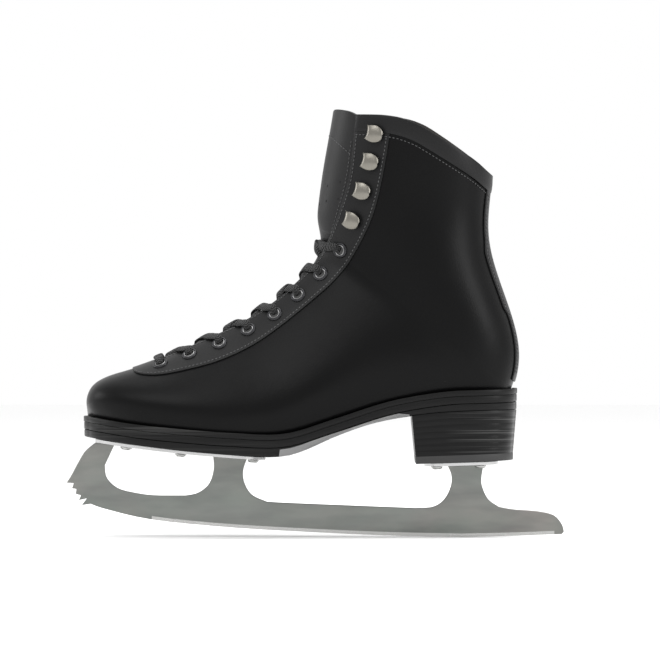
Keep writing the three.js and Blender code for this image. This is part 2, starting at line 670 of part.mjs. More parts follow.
const heelBlock = drilled(heelBlank, heelScrewFrames);

function screwGeometry() {
  const head = SCREW_HEAD_DIAMETER / 2;
  return turned([
    [0, -SCREW_HEAD_HEIGHT], [head * 0.72, -SCREW_HEAD_HEIGHT], [head, -SCREW_HEAD_HEIGHT * 0.35], [head, 0],
    [screwRadius, 0], [screwRadius, SCREW_LENGTH], [0, SCREW_LENGTH + 1.6],
  ]);
}

// Side view of the blade. It starts at the top of the front post and runs over the picks, along the ice, round
// the tail and back under the plates.
function bladeOutline() {
  const bladeTop = (x, under) => under(gradeX(x)) - PLATE_GAP - PLATE_THICKNESS - PLATE_GAP;
  const soleTop = (x) => new THREE.Vector2(gradeX(x), bladeTop(x, soleBottom));
  const heelTop = (x) => new THREE.Vector2(gradeX(x), bladeTop(x, capBottom));
  const pass = (list) => list.map(([x, z]) => point(x, z));
  const shape = new THREE.Shape();
  const start = soleTop(-145.7);
  shape.moveTo(start.x, start.y);
  shape.splineThru(pass([[-152.7, 56.8], [-157.6, 48.9], [-161.6, 41.4], [-165, 36]]));
  const picks = [[-160.2, 35.7], [-161.4, 32.2], [-158.4, 31.9], [-158.9, 28.6], [-155.4, 27.6], [-156.9, 24.4],
    [-151.5, 25.6], [-155, 21.1], [-149, 22]];
  for (const p of pass(picks)) shape.lineTo(p.x, p.y);
  shape.splineThru(pass([[-138.8, 18.5], [-108.4, 11.6], [-60, 6.6], [0, 3.1], [50, 1], [96.3, 0]]));
  shape.splineThru(pass([[130, 0.7], [163.8, 2]]));
  shape.lineTo(gradeX(165), gradeZ(3.6));
  shape.splineThru(pass([[163.4, 8.8], [158, 14.6], [147, 17.2], [132, 18.3], [122, 20]]));
  shape.splineThru([...pass([[114.9, 25], [110.9, 32.9], [110.2, 39]]), heelTop(111.6)]);
  const rearFront = heelTop(88);
  shape.lineTo(rearFront.x, rearFront.y);
  shape.splineThru(pass([[90.4, 41], [90, 33.6], [85.6, 25], [78, 20], [66, 19.2]]));
  shape.splineThru(pass([[30, 20.6], [-18.6, 22.6], [-32, 23.4]]));
  shape.splineThru([...pass([[-42, 28], [-47, 36], [-47.8, 44]]), soleTop(-45.4)]);
  const middleFront = soleTop(-67.7);
  shape.lineTo(middleFront.x, middleFront.y);
  shape.splineThru(pass([[-67.3, 45], [-70.4, 35.4], [-77.6, 29.4], [-86, 27.5]]));
  shape.splineThru(pass([[-105.8, 27.6], [-118.5, 29.1], [-131, 32.4], [-138.4, 39.4], [-139.6, 47.6]]));
  const frontBack = soleTop(-133.4);
  shape.lineTo(frontBack.x, frontBack.y);
  return shape.getPoints(3);
}
const blade = solid(sidePrism(bladeOutline(), -BLADE_THICKNESS / 2, BLADE_THICKNESS / 2));

// ---- Eyelets and hooks ----

function eyeletGeometry() {
  const bore = EYELET_HOLE_DIAMETER / 2;
  const flange = EYELET_FLANGE_DIAMETER / 2;
  const inside = -(leatherDepth + CLINCH_CLEARANCE);
  return turned([
    [bore, inside - EYELET_CLINCH], [EYELET_BARREL + 0.9, inside],
    [EYELET_BARREL, inside], [EYELET_BARREL, SEATING], [flange, SEATING], [bore, SEATING + EYELET_FLANGE_HEIGHT],
    [bore, inside - EYELET_CLINCH],
  ]);
}

// A hook is one folded strip: a base under its rivet, a fold on the throat side, and a domed tab on top.
function hookGeometry() {
  const radius = HOOK_DIAMETER / 2;
  const base = SEATING;
  const top = base + HOOK_HEIGHT;
  const side = new THREE.Shape();
  side.moveTo(-radius + 1.2, base);
  side.lineTo(radius - 1.4, base);
  side.quadraticCurveTo(radius + 1, base, radius + 0.4, top * 0.55);
  side.quadraticCurveTo(radius, top, 0, top);
  side.lineTo(-radius, top - 1.5);
  side.lineTo(-radius, top - 1.5 - HOOK_SHEET);
  side.lineTo(0, top - HOOK_SHEET);
  side.lineTo(radius - 1.7, top - HOOK_SHEET - 0.5);
  side.lineTo(radius - 1, top * 0.55);
  side.lineTo(radius - 2, base + HOOK_SHEET);
  side.lineTo(-radius + 1.2, base + HOOK_SHEET);
  side.closePath();
  const strip = new THREE.ExtrudeGeometry(side, { depth: HOOK_DIAMETER + 2, bevelEnabled: false, curveSegments: 2 });
  strip.translate(0, 0, -HOOK_DIAMETER / 2 - 1).rotateX(Math.PI / 2);
  const plan = new THREE.Shape();
  plan.absarc(0, 0, radius, Math.PI / 4, TAU - Math.PI / 4, false);
  plan.lineTo(radius + 1, -radius * 0.86);
  plan.quadraticCurveTo(radius - 1, 0, radius + 1, radius * 0.86);
  plan.closePath();
  const outline = new THREE.ExtrudeGeometry(plan, { depth: 20, bevelEnabled: false, curveSegments: 5 });
  outline.translate(0, 0, -8);
  const rivet = HOOK_RIVET_DIAMETER / 2;
  const inside = -(leatherDepth + CLINCH_CLEARANCE);
  const shankPiece = turned([
    [0, inside - 0.7], [rivet + 1.3, inside - 0.7], [rivet + 1.3, inside], [rivet, inside], [rivet, base + 0.5],
    [0, base + 0.5],
  ]);
  return surfaceOf(solid(strip).intersect(solid(outline)).add(solid(shankPiece)));
}

// ---- Tongue ----

// Profiles of the tongue are drawn in the plane of a section: across from the ridge, and down along the section.
function sectionPoint(s, [y, depth], side) {
  const k = sectionAt(s);
  const down = k.back.clone().sub(k.front).normalize();
  const flat = k.front.clone().addScaledVector(down, depth);
  return new THREE.Vector3(flat.x, k.lean + side * y, flat.y);
}

function depthOf(s, p) {
  const k = sectionAt(s);
  return Math.hypot(p.x - k.front.x, p.z - k.front.y);
}

function formDepth(s, y) {
  let low = 0;
  let high = 1.5;
  for (let i = 0; i < 30; i += 1) {
    const middle = (low + high) / 2;
    if (formPoint(s, middle, 1).y - sectionAt(s).lean < y) low = middle;
    else high = middle;
  }
  return depthOf(s, formPoint(s, low, 1));
}

// A strip over the ridge with a profile from its middle to its edge, and a thickness below it.
function strip(sections, profile, thickness) {
  return solid(loft(sections.map((s) => {
    const top = profile(s);
    const under = top.map(([y, depth], i) => {
      const [a, c] = [top[Math.max(i - 1, 0)], top[Math.min(i + 1, top.length - 1)]];
      const length = Math.hypot(c[0] - a[0], c[1] - a[1]);
      if (i === 0) return [0, depth + thickness];
      return [Math.max(y - (thickness * (c[1] - a[1])) / length, 0.2), depth + (thickness * (c[0] - a[0])) / length];
    });
    const line = (list) => [
      ...list.slice(1).reverse().map((at) => sectionPoint(s, at, -1)), ...list.map((at) => sectionPoint(s, at, 1)),
    ];
    return [...line(top), ...line(under).reverse()];
  })));
}

const TONGUE_RIDGE = -1.8;
const underFacing = UPPER_LEATHER + 2 * GAP + CLINCH_CLEARANCE + EYELET_CLINCH + LACE_DIAMETER + 4 * GAP;
const TUCK = 9;
// Its middle shows in the throat, and its wings run down inside the upper with room for the lace between.
function tongueProfile(s) {
  const angle = throatAngle(s);
  const edge = formPoint(s, angle, 1);
  const k = sectionAt(s);
  const down = k.back.clone().sub(k.front).normalize();
  const normal = formNormal(s, angle, 1);
  const rise = -(normal.x * down.x + normal.z * down.y);
  const size = Math.hypot(normal.y, rise);
  const [ny, nd] = [normal.y / size, rise / size];
  const wing = [Math.max(edge.y - k.lean - underFacing * ny, 2.5), depthOf(s, edge) + underFacing * nd];
  const tip = [wing[0] + TUCK * nd, wing[1] + TUCK * ny];
  return [[0, -TONGUE_RIDGE], [wing[0] * 0.5, (wing[1] - TONGUE_RIDGE) * 0.38], wing, tip];
}
const tongueLower = strip([...spread(4.8, 9, 8), 10, 11, 12, 13, 14, 14.45], tongueProfile, TONGUE_THICKNESS);

const HINGE_SECTION = 14.72;
const LEAF_CLEARANCE = 3.4; // lets the leaf swing out between the edges of the upper
function leafProfile(s) {
  const width = throatHalf(Math.min(s, 20.6)) - LEAF_CLEARANCE;
  return [0, 0.35, 0.7, 1].map((share) => [share * width, formDepth(s, share * width) - TONGUE_RIDGE]);
}
const tongueLeaf = strip([HINGE_SECTION, 15.4, 16.2, 17, 18, 19, 20, 20.5, 21], leafProfile, TONGUE_THICKNESS);
const leafTop = across([
  point(-20, 340), point(-20, 274),
  ...curveThrough([[10.2, 274], [13.4, 280], [20, 283.5], [28, 281.2], [36, 277.4]]).getPoints(8),
  point(60, 270), point(60, 340),
]);
const tongueUpper = tongueLeaf.subtract(leafTop);

// ---- Lace ----

// A curve that passes its own points at equal steps, so that a tube along it has one ring at each.
class Run extends THREE.CatmullRomCurve3 {
  getPointAt(u, target) {
    return this.getPoint(u, target);
  }

  getTangentAt(u, target) {
    return this.getTangent(u, target);
  }
}

function extruded(path, diameter, steps) {
  const section = new THREE.Shape(Array.from({ length: ROUND_SIDES }, (_, i) => {
    const angle = (TAU * i) / ROUND_SIDES;
    return new THREE.Vector2(Math.cos(angle), Math.sin(angle)).multiplyScalar(diameter / 2);
  }));
  return new THREE.ExtrudeGeometry(section, { steps, extrudePath: path, bevelEnabled: false });
}

const laceRadius = LACE_DIAMETER / 2;
const flangeTop = SEATING + EYELET_FLANGE_HEIGHT;
const overFlange = flangeTop + laceRadius + GAP;
const underClinch = -(leatherDepth + CLINCH_CLEARANCE + EYELET_CLINCH + laceRadius + GAP);
const local = (frame, u, n) => frame.place.clone().addScaledVector(frame.towards, u).addScaledVector(frame.normal, n);

// A point on section s of the form, a distance inside the throat's edge (behind it where negative), at an offset.
function nearThroat(s, side, inwards, offset) {
  let angle = throatAngle(s);
  let travelled = 0;
  const step = inwards > 0 ? -0.01 : 0.01;
  while (travelled < Math.abs(inwards) && angle + step > 0 && angle < 1.7) {
    travelled += formPoint(s, angle + step, side).distanceTo(formPoint(s, angle, side));
    angle += step;
  }
  return leatherPoint(s, angle, side, offset);
}

// Down through the hole of an eyelet, from above its rim on the throat side.
const throughHole = (frame) => [
  local(frame, 3.2, overFlange + 0.5),
  local(frame, 0.5, overFlange - 1),
  local(frame, 0.2, underClinch + 1.6),
];

// Along the leather from the throat's edge to the ridge.
function halfArc(s) {
  const limit = throatAngle(s);
  const steps = spread(0, limit, 20).map((angle) => formPoint(s, angle, 1));
  return steps.slice(1).reduce((sum, p, i) => sum + p.distanceTo(steps[i]), 0);
}

// From under one eyelet to above the next one on the other side: beneath the facing's edge, over the tongue,
// and over the other edge.
function crossing(from, to, side, over) {
  const at = (share) => THREE.MathUtils.lerp(from.s, to.s, share);
  const [out, back] = [SIDES[side][0], SIDES[1 - side][0]];
  const tucked = -(UPPER_LEATHER + laceRadius + 2 * GAP);
  const proud = FACING_TOP + laceRadius + 2 * GAP;
  const lift = TONGUE_RIDGE + laceRadius + 3 * GAP + (over ? LACE_DIAMETER + GAP : 0);
  return [
    local(from, 1.8, underClinch + 0.3),
    nearThroat(at(0.2), out, 0.7, tucked - 0.1),
    nearThroat(at(0.28), out, 3.2, TONGUE_RIDGE - 0.6),
    nearThroat(at(0.38), out, halfArc(at(0.38)) / 2, lift),
    leatherPoint(at(0.5), 0, out, lift + 0.5),
    nearThroat(at(0.63), back, halfArc(at(0.63)) / 2, Math.max(lift, proud) + 0.2),
    nearThroat(at(0.74), back, 1.5, proud + 0.2),
    nearThroat(at(0.84), back, -1.6, proud + 1.2),
  ];
}

function laceStrand(startSide) {
  const points = [];
  let side = startSide;
  for (let i = 0; i < EYELET_PLACES.length; i += 1) {
    const frame = eyeletFrames[side][i];
    points.push(...throughHole(frame));
    if (i + 1 === EYELET_PLACES.length) break;
    points.push(...crossing(frame, eyeletFrames[1 - side][i + 1], side, startSide === 0));
    side = 1 - side;
  }
  return points;
}
const barSection = eyeletFrames[0][0].s - 0.1;
const barPoints = [
  nearThroat(barSection, -1, -1.6, FACING_TOP + overFlange),
  leatherPoint(barSection - 0.1, 0, 1, FACING_TOP + laceRadius + GAP),
  nearThroat(barSection, 1, -1.6, FACING_TOP + overFlange),
];
const lacePoints = [...laceStrand(0).reverse(), ...barPoints, ...laceStrand(1)];
const lace = extruded(new Run(lacePoints, false, 'centripetal'), LACE_DIAMETER, lacePoints.length - 1);

// The free ends run down inside the boot, forward along the footbed and back, and end in their aglets.
const TAIL_DOWN = [
  [24, 19.5, 187], [32, 22.5, 181], [42, 26, 170], [51, 28, 155], [59, 28.5, 138], [66, 27, 121], [68, 24.5, 110],
];
const TAIL_ALONG = [
  [60, 22], [44, 22.5], [22, 24], [0, 26], [-22, 28], [-46, 29], [-70, 28.5], [-90, 26], [-103, 20.5], [-106.5, 14],
  [-102, 7.8], [-90, 5], [-70, 5], [-46, 5], [-22, 5], [0, 5], [20, 5],
];
const TAIL_RISE = BOARD_TOP + FOOTBED_THICKNESS + laceRadius + 5 * GAP;
const tailHeight = (x) => seatHeight(gradeX(x)) + TAIL_RISE;
const TAIL = [...TAIL_DOWN.map(([x, y, z]) => [x, y, gradeZ(z)]), ...TAIL_ALONG.map(([x, y]) => [x, y, tailHeight(x)])];
const TAIL_STEPS = 42;
function laceTail(side) {
  const frame = eyeletFrames[side].at(-1);
  const sign = SIDES[side][0];
  const points = [
    local(frame, -0.1, underClinch + 1.6 - 3 * GAP), local(frame, -1.2, underClinch - 1.4),
    ...TAIL.map(([x, y, z]) => new THREE.Vector3(gradeX(x), sign * gradeY(y), z)),
  ];
  const path = new THREE.CatmullRomCurve3(points, false, 'centripetal');
  return { geometry: extruded(path, LACE_DIAMETER, TAIL_STEPS), end: points.at(-1), along: path.getTangent(1) };
}
const tails = SIDES.map((_, side) => laceTail(side));

function agletMatrix({ end, along }) {
  const turn = new THREE.Quaternion().setFromUnitVectors(new THREE.Vector3(0, 0, 1), along);
  return new THREE.Matrix4().compose(end.clone().addScaledVector(along, GAP), turn, new THREE.Vector3(1, 1, 1));
}
const agletRadius = AGLET_DIAMETER / 2;
const aglet = turned([
  [0, 0], [agletRadius, 0], [agletRadius, AGLET_LENGTH - 2], [agletRadius * 0.6, AGLET_LENGTH], [0, AGLET_LENGTH],
]);

// ---- The skate ----

const blackLeather = { color: 0x17171a, roughness: 0.42, metalness: 0 };
const MATERIALS = {
  leather: blackLeather,
  lining: { color: 0x2b2a29, roughness: 0.85, metalness: 0 },
  board: { color: 0x8b6d4a, roughness: 0.9, metalness: 0 },
  sole: { color: 0x1d1c1d, roughness: 0.5, metalness: 0 },
  steel: { color: 0x8f928d, roughness: 0.38, metalness: 1 },
  chrome: { color: 0xc9cbcc, roughness: 0.2, metalness: 1 },
  nickel: { color: 0x9b9a92, roughness: 0.4, metalness: 1 },
  eyelet: { color: 0x3a3b3d, roughness: 0.35, metalness: 1 },
  lace: { color: 0x131314, roughness: 0.9, metalness: 0 },
  aglet: { color: 0x0d0d0e, roughness: 0.3, metalness: 0 },
};
const materials = Object.fromEntries(
  Object.entries(MATERIALS).map(([name, look]) => [name, new THREE.MeshStandardMaterial(look)]),
);

const skate = new THREE.Group();
skate.name = 'figure_skate';

function addPiece(name, shape, material, matrix) {
  const geometry = shape instanceof THREE.BufferGeometry ? shape : surfaceOf(shape);
  const mesh = new THREE.Mesh(geometry, materials[material]);
  mesh.name = name;
  if (matrix) mesh.applyMatrix4(matrix);
  skate.add(mesh);
}

addPiece('upper', upper, 'leather');
addPiece('facing', facing, 'leather');
addPiece('back_stay', backStay, 'leather');
addPiece('lining', lining, 'lining');
addPiece('toe_puff', toePuff, 'board');
addPiece('heel_counter', heelCounter, 'board');
addPiece('insole_board', insoleBoard, 'board');
addPiece('footbed', footbed, 'lining');
addPiece('cork_filler', corkFiller, 'board');
addPiece('shank', shank, 'steel');
addPiece('welt', welt, 'sole');
addPiece('midsole', midsoleDrilled, 'sole');
addPiece('outsole', outsole, 'sole');
addPiece('heel_block', heelBlock, 'sole');
addPiece('heel_cap', heelCap, 'sole');
addPiece('tongue_lower', tongueLower, 'leather');
addPiece('tongue_upper', tongueUpper, 'leather');
addPiece('blade', blade, 'steel');
addPiece('sole_plate', solePlate, 'chrome');
addPiece('heel_plate', heelPlate, 'chrome');
addPiece('lace', lace, 'lace');
SIDES.forEach(([, sideName], k) => {
  addPiece(`lace_tail_${sideName}`, tails[k].geometry, 'lace');
  addPiece(`aglet_${sideName}`, aglet, 'aglet', agletMatrix(tails[k]));
});

const eyelet = eyeletGeometry();
const hook = hookGeometry();
SIDES.forEach(([, sideName], k) => {
  eyeletFrames[k].forEach((frame, i) => addPiece(`eyelet_${sideName}_${i + 1}`, eyelet, 'eyelet', frame.matrix));
  hookFrames[k].forEach((frame, i) => addPiece(`hook_${sideName}_${i + 1}`, hook, 'nickel', frame.matrix));
});
const screw = screwGeometry();
soleScrewFrames.forEach((frame, i) => addPiece(`sole_screw_${i + 1}`, screw, 'chrome', frame));
heelScrewFrames.forEach((frame, i) => addPiece(`heel_screw_${i + 1}`, screw, 'chrome', frame));

export default skate;
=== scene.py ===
"""A black leather figure skate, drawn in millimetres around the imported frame."""
import math

import bmesh
import bpy
import numpy as np
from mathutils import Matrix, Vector


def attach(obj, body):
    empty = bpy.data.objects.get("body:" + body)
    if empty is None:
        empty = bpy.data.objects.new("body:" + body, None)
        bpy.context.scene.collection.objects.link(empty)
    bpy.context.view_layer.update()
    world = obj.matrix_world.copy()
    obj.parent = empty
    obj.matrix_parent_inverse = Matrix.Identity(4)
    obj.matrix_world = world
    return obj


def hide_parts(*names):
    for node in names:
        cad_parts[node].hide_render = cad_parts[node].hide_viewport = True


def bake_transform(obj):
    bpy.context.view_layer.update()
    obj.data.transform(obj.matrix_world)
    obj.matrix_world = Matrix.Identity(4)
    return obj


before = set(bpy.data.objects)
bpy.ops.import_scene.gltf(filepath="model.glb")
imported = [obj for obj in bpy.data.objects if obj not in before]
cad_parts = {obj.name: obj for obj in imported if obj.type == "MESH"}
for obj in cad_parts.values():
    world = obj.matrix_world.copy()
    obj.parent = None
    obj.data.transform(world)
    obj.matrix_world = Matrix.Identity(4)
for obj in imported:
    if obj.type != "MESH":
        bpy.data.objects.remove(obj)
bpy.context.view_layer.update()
MM = 0.001
BOOT = "boot"
SIDES = ((-1, "left"), (1, "right"))

# ---- Camera, lights and floor ----

SKATE_CENTRE = Vector((0.0, 0.0, 0.142))
VIEW_WIDTH = 0.438
CAMERA_DISTANCE = 3.4


def add_camera():
    data = bpy.data.cameras.new("camera")
    data.sensor_width = 36.0
    data.lens = data.sensor_width * CAMERA_DISTANCE / VIEW_WIDTH
    camera = bpy.data.objects.new("camera", data)
    bpy.context.scene.collection.objects.link(camera)
    camera.location = SKATE_CENTRE + Vector((0.0098, -CAMERA_DISTANCE, -0.0047))
    camera.rotation_euler = (math.pi / 2, 0.0, 0.0)
    bpy.context.scene.camera = camera
    bpy.context.scene.view_settings.view_transform = "Standard"


def add_light(name, place, size, watts, spread=math.pi):
    data = bpy.data.lights.new(name, "AREA")
    data.shape = "RECTANGLE"
    data.size, data.size_y = size
    data.energy = watts
    data.spread = spread
    light = bpy.data.objects.new(name, data)
    bpy.context.scene.collection.objects.link(light)
    light.location = place
    light.rotation_euler = (SKATE_CENTRE - light.location).to_track_quat("-Z", "Y").to_euler()


def add_floor():
    mesh = bpy.data.meshes.new("floor")
    half = 6.0
    corners = [(-half, -half, 0), (half, -half, 0), (half, half, 0), (-half, half, 0)]
    mesh.from_pydata(corners, [], [(0, 1, 2, 3)])
    floor = bpy.data.objects.new("floor", mesh)
    bpy.context.scene.collection.objects.link(floor)
    floor.location.z = -0.0002
    floor.data.materials.append(plain_finish("floor_white", (0.95, 0.95, 0.95), 0.9))


def add_sky(strength):
    world = bpy.data.worlds.new("studio")
    bpy.context.scene.world = world
    world.use_nodes = True
    world.node_tree.nodes["Background"].inputs["Color"].default_value = (1, 1, 1, 1)
    world.node_tree.nodes["Background"].inputs["Strength"].default_value = strength


# ---- Finishes ----


def new_finish(name, colour, roughness, metallic=0.0, specular=0.5):
    finish = bpy.data.materials.new(name)
    finish.use_nodes = True
    shader = finish.node_tree.nodes["Principled BSDF"]
    shader.inputs["Base Color"].default_value = (*colour, 1.0)
    shader.inputs["Roughness"].default_value = roughness
    shader.inputs["Metallic"].default_value = metallic
    shader.inputs["Specular IOR Level"].default_value = specular
    return finish, finish.node_tree, shader


def plain_finish(name, colour, roughness, metallic=0.0):
    return new_finish(name, colour, roughness, metallic)[0]


def fill(tree, socket, value):
    """Links an input to another node's output, or gives it a value."""
    if isinstance(value, bpy.types.NodeSocket):
        tree.links.new(value, socket)
    else:
        socket.default_value = value


def node(tree, kind, **settings):
    """A new node. Each setting fills the input of that name, or else sets the property."""
    made = tree.nodes.new(kind)
    for key, value in settings.items():
        if key in made.inputs:
            fill(tree, made.inputs[key], value)
        else:
            setattr(made, key, value)
    return made


def arithmetic(tree, operation, *values):
    made = node(tree, "ShaderNodeMath", operation=operation)
    for socket, value in zip(made.inputs, values):
        fill(tree, socket, value)
    return made.outputs[0]


def mixed(tree, amount, none, full):
    """The first colour where the amount is none, and the second where it is full."""
    made = node(tree, "ShaderNodeMix", data_type="RGBA")
    for socket, value in zip((made.inputs[0], *made.inputs[6:8]), (amount, none, full)):
        fill(tree, socket, value)
    return made.outputs[2]


def coordinates(tree, stretch=(1, 1, 1), uv=False):
    place = tree.nodes.new("ShaderNodeTexCoord").outputs["UV" if uv else "Object"]
    return node(tree, "ShaderNodeMapping", Vector=place, Scale=stretch).outputs["Vector"]


def noise(tree, where, scale, detail):
    return node(tree, "ShaderNodeTexNoise", Vector=where, Scale=scale, Detail=detail).outputs["Fac"]


def ramp(tree, source, low, high, low_value, high_value):
    settings = {"Value": source, "From Min": low, "From Max": high, "To Min": low_value, "To Max": high_value}
    return node(tree, "ShaderNodeMapRange", **settings).outputs["Result"]


def bump(tree, height, strength, distance, below=None):
    made = node(tree, "ShaderNodeBump", Height=height, Strength=strength, Distance=distance)
    if below:
        tree.links.new(below, made.inputs["Normal"])
    return made.outputs["Normal"]


def leather(name, colour, roughness, specular=0.1):
    """Leather with fine pores over soft creases."""
    finish, tree, shader = new_finish(name, colour, roughness, specular=specular)
    where = coordinates(tree)
    pores = node(tree, "ShaderNodeTexVoronoi", Vector=where, Scale=1100.0).outputs["Distance"]
    fine = bump(tree, pores, 0.3, 0.00012)
    fill(tree, shader.inputs["Normal"], bump(tree, noise(tree, where, 45.0, 6.0), 0.22, 0.0012, fine))
    rough = ramp(tree, noise(tree, where, 14.0, 3.0), 0.3, 0.7, roughness - 0.05, roughness + 0.06)
    fill(tree, shader.inputs["Roughness"], rough)
    return finish


def layered_edge_painted_highlight(name, colour, light, roughness, spacing, from_x, to_x):
    """Burnished leather edge with level lines, which grow from none to full between two places along X. The layer
    lines are real and bumped everywhere; their lighter colour, faded in toward one end, is painted highlight.
    """
    finish, tree, shader = new_finish(name, colour, roughness, specular=0.15)
    lines = noise(tree, coordinates(tree, (6.0, 6.0, 1.0 / spacing)), 1.0, 2.0)
    along = node(tree, "ShaderNodeSeparateXYZ", Vector=coordinates(tree)).outputs["X"]
    bright = ramp(tree, lines, 0.52, 0.72, 0.0, 1.0)
    amount = arithmetic(tree, "MULTIPLY", bright, ramp(tree, along, from_x, to_x, 0.0, 1.0))
    fill(tree, shader.inputs["Base Color"], mixed(tree, amount, (*colour, 1), (*light, 1)))
    fill(tree, shader.inputs["Normal"], bump(tree, lines, 0.5, 0.0004))
    return finish


def brushed(name, colour, roughness, stretch, strength=0.12, stains=()):
    """Worked metal: fine scratches along one way, and faint patches of the stains' colours."""
    finish, tree, shader = new_finish(name, colour, roughness, 1.0)
    clouds = noise(tree, coordinates(tree), 22.0, 2.0)
    fill(tree, shader.inputs["Roughness"], ramp(tree, clouds, 0.3, 0.7, roughness - 0.07, roughness + 0.08))
    scratches = noise(tree, coordinates(tree, stretch), 1.0, 4.0)
    fill(tree, shader.inputs["Normal"], bump(tree, scratches, strength, 0.0003))
    look = (*colour, 1)
    for turn, stain in enumerate(stains):
        patches = noise(tree, coordinates(tree, (1, 1, 1.8 + turn)), 11.0 + 7.0 * turn, 3.0)
        look = mixed(tree, ramp(tree, patches, 0.42, 0.72, 0.0, 0.5), look, (*stain, 1))
    fill(tree, shader.inputs["Base Color"], look)
    return finish


BOOT_LEATHER = leather("boot_leather", (0.0016, 0.0016, 0.0017), 0.36)
# Lighter than the boot leather: painted highlight for the light that the upward-facing facing catches. The same
# lighter copy also covers the back stay and the collar band.
FACING_LEATHER_PAINTED_HIGHLIGHT = leather("facing_leather", (0.0042, 0.0042, 0.0044), 0.42, specular=0.2)
TONGUE_LEATHER = leather("tongue_leather", (0.007, 0.007, 0.0073), 0.45, specular=0.25)
LINING_CLOTH = leather("lining_leather", (0.035, 0.033, 0.031), 0.75)
EDGE_PAINT = plain_finish("edge_paint", (0.016, 0.016, 0.016), 0.5)
# The lighter lines fade in toward the toe: painted highlight along the welt and sole edges there.
WELT_EDGE = layered_edge_painted_highlight("welt_edge", (0.0035, 0.0035, 0.0035), (0.045, 0.045, 0.044), 0.42, 0.0011, -0.02, -0.14)
# The lighter lines fade in toward the rear: painted highlight on the back of the heel.
HEEL_EDGE = layered_edge_painted_highlight("heel_edge", (0.003, 0.003, 0.0031), (0.1, 0.1, 0.098), 0.38, 0.0012, 0.085, 0.135)
# Mid grey on the bevel under the waist: painted reflection of the white floor.
BEVEL_PAINTED_FLOOR_REFLECTION = plain_finish("waist_bevel_painted_reflection", (0.16, 0.16, 0.16), 0.42)
RUBBER = plain_finish("heel_rubber", (0.012, 0.012, 0.012), 0.6)
# Near black: painted shade inside the tongue's vent holes.
VENT_PAINTED_SHADE = plain_finish("vent_painted_shade", (0.001, 0.001, 0.001), 0.9)
THREAD = plain_finish("thread", (0.055, 0.055, 0.056), 0.55)
BLADE_STEEL = brushed(
    "blade_steel", (0.19, 0.198, 0.186), 0.34, (30, 300, 2500), 0.12,
    ((0.25, 0.215, 0.205), (0.15, 0.175, 0.155), (0.11, 0.115, 0.112)),
)
GROUND_STEEL = brushed("ground_steel", (0.4, 0.4, 0.39), 0.26, (2500, 300, 60))
PLATE_STEEL = brushed("plate_steel", (0.5, 0.5, 0.5), 0.22, (40, 1500, 300), 0.06)
NICKEL = brushed("dull_nickel", (0.19, 0.18, 0.158), 0.3, (900, 900, 900), 0.05)
GUNMETAL = brushed("gunmetal", (0.035, 0.035, 0.037), 0.34, (700, 700, 700), 0.05)
BARREL = plain_finish("eyelet_barrel", (0.3, 0.3, 0.3), 0.32, 1.0)
SCREW_STEEL = brushed("screw_steel", (0.42, 0.42, 0.41), 0.3, (500, 500, 500), 0.05)
AGLET_FILM = plain_finish("aglet_film", (0.012, 0.012, 0.012), 0.25)

# ---- The last: the smooth form that the leather follows ----

# front x, front z, back x, back z, half width, half seat, widest place, front round, back round, lean, flat ridge
SECTIONS = np.array([
    [-151.5, 84.5, -151, 80.2, 1.5, 1, 0.5, 2, 2, 5, 0],
    [-152, 91, -146, 79.3, 18, 17, 0.6, 2.3, 2.3, 5, 0],
    [-148.5, 100, -137, 78, 29.2, 27.5, 0.62, 2.3, 2.4, 4.6, 0],
    [-139, 106.3, -126, 76.3, 36.6, 34.5, 0.64, 2.2, 2.4, 3.6, 0],
    [-122, 111.5, -112, 74.5, 42.5, 40, 0.67, 1.9, 2.4, 2.4, 0.06],
    [-100, 119.6, -88, 72.2, 46.4, 44, 0.72, 1.5, 2.4, 1, 0.22],
    [-72, 132.6, -55, 69.8, 47.4, 45.5, 0.76, 1.3, 2.4, 0, 0.28],
    [-42, 148, -20, 69.2, 44.6, 39, 0.76, 1.22, 2.3, -1, 0.28],
    [-16, 168, 14, 79.2, 41.4, 32, 0.72, 1.2, 2.2, -1.6, 0.28],
    [-4, 181, 52, 91, 39.8, 29.8, 0.64, 1.25, 2.2, -1.4, 0.28],
    [-0.5, 188, 88, 96.8, 39, 30.5, 0.6, 1.35, 2.2, -0.6, 0.26],
    [0.2, 192, 108, 97.6, 38.6, 28, 0.58, 1.42, 2.2, 0, 0.24],
    [0.5, 195, 122, 98, 38.4, 21, 0.56, 1.48, 2.2, 0, 0.22],
    [0.7, 197.5, 128.6, 98.4, 38.3, 11.5, 0.55, 1.52, 2.2, 0, 0.2],
    [0.9, 200, 131.2, 98.8, 38.2, 0, 0.54, 1.58, 2.2, 0, 0.18],
    [1.2, 206, 136.4, 118, 38, 0, 0.53, 1.7, 2.1, 0, 0.14],
    [1.6, 212, 132.4, 141, 37.6, 0, 0.52, 1.8, 2.05, 0, 0.1],
    [2.6, 221, 123, 167, 37, 0, 0.5, 1.9, 2, 0, 0.06],
    [4, 231, 115.4, 191, 36.6, 0, 0.49, 2, 2, 0, 0],
    [6, 245, 114.4, 211, 37, 0, 0.48, 2, 2, 0, 0],
    [9.3, 263, 116.8, 232, 38.4, 0, 0.48, 2, 2, 0, 0],
    [14.2, 290, 120, 264, 41, 0, 0.48, 2, 2, 0, 0],
])
HEEL_CORNER = 14
LAST = len(SECTIONS) - 1
RIDGE_SQUARENESS = 4
PACES = np.sqrt(
    np.hypot(*np.diff(SECTIONS[:, :2], axis=0).T) + np.hypot(*np.diff(SECTIONS[:, 2:4], axis=0).T)
)


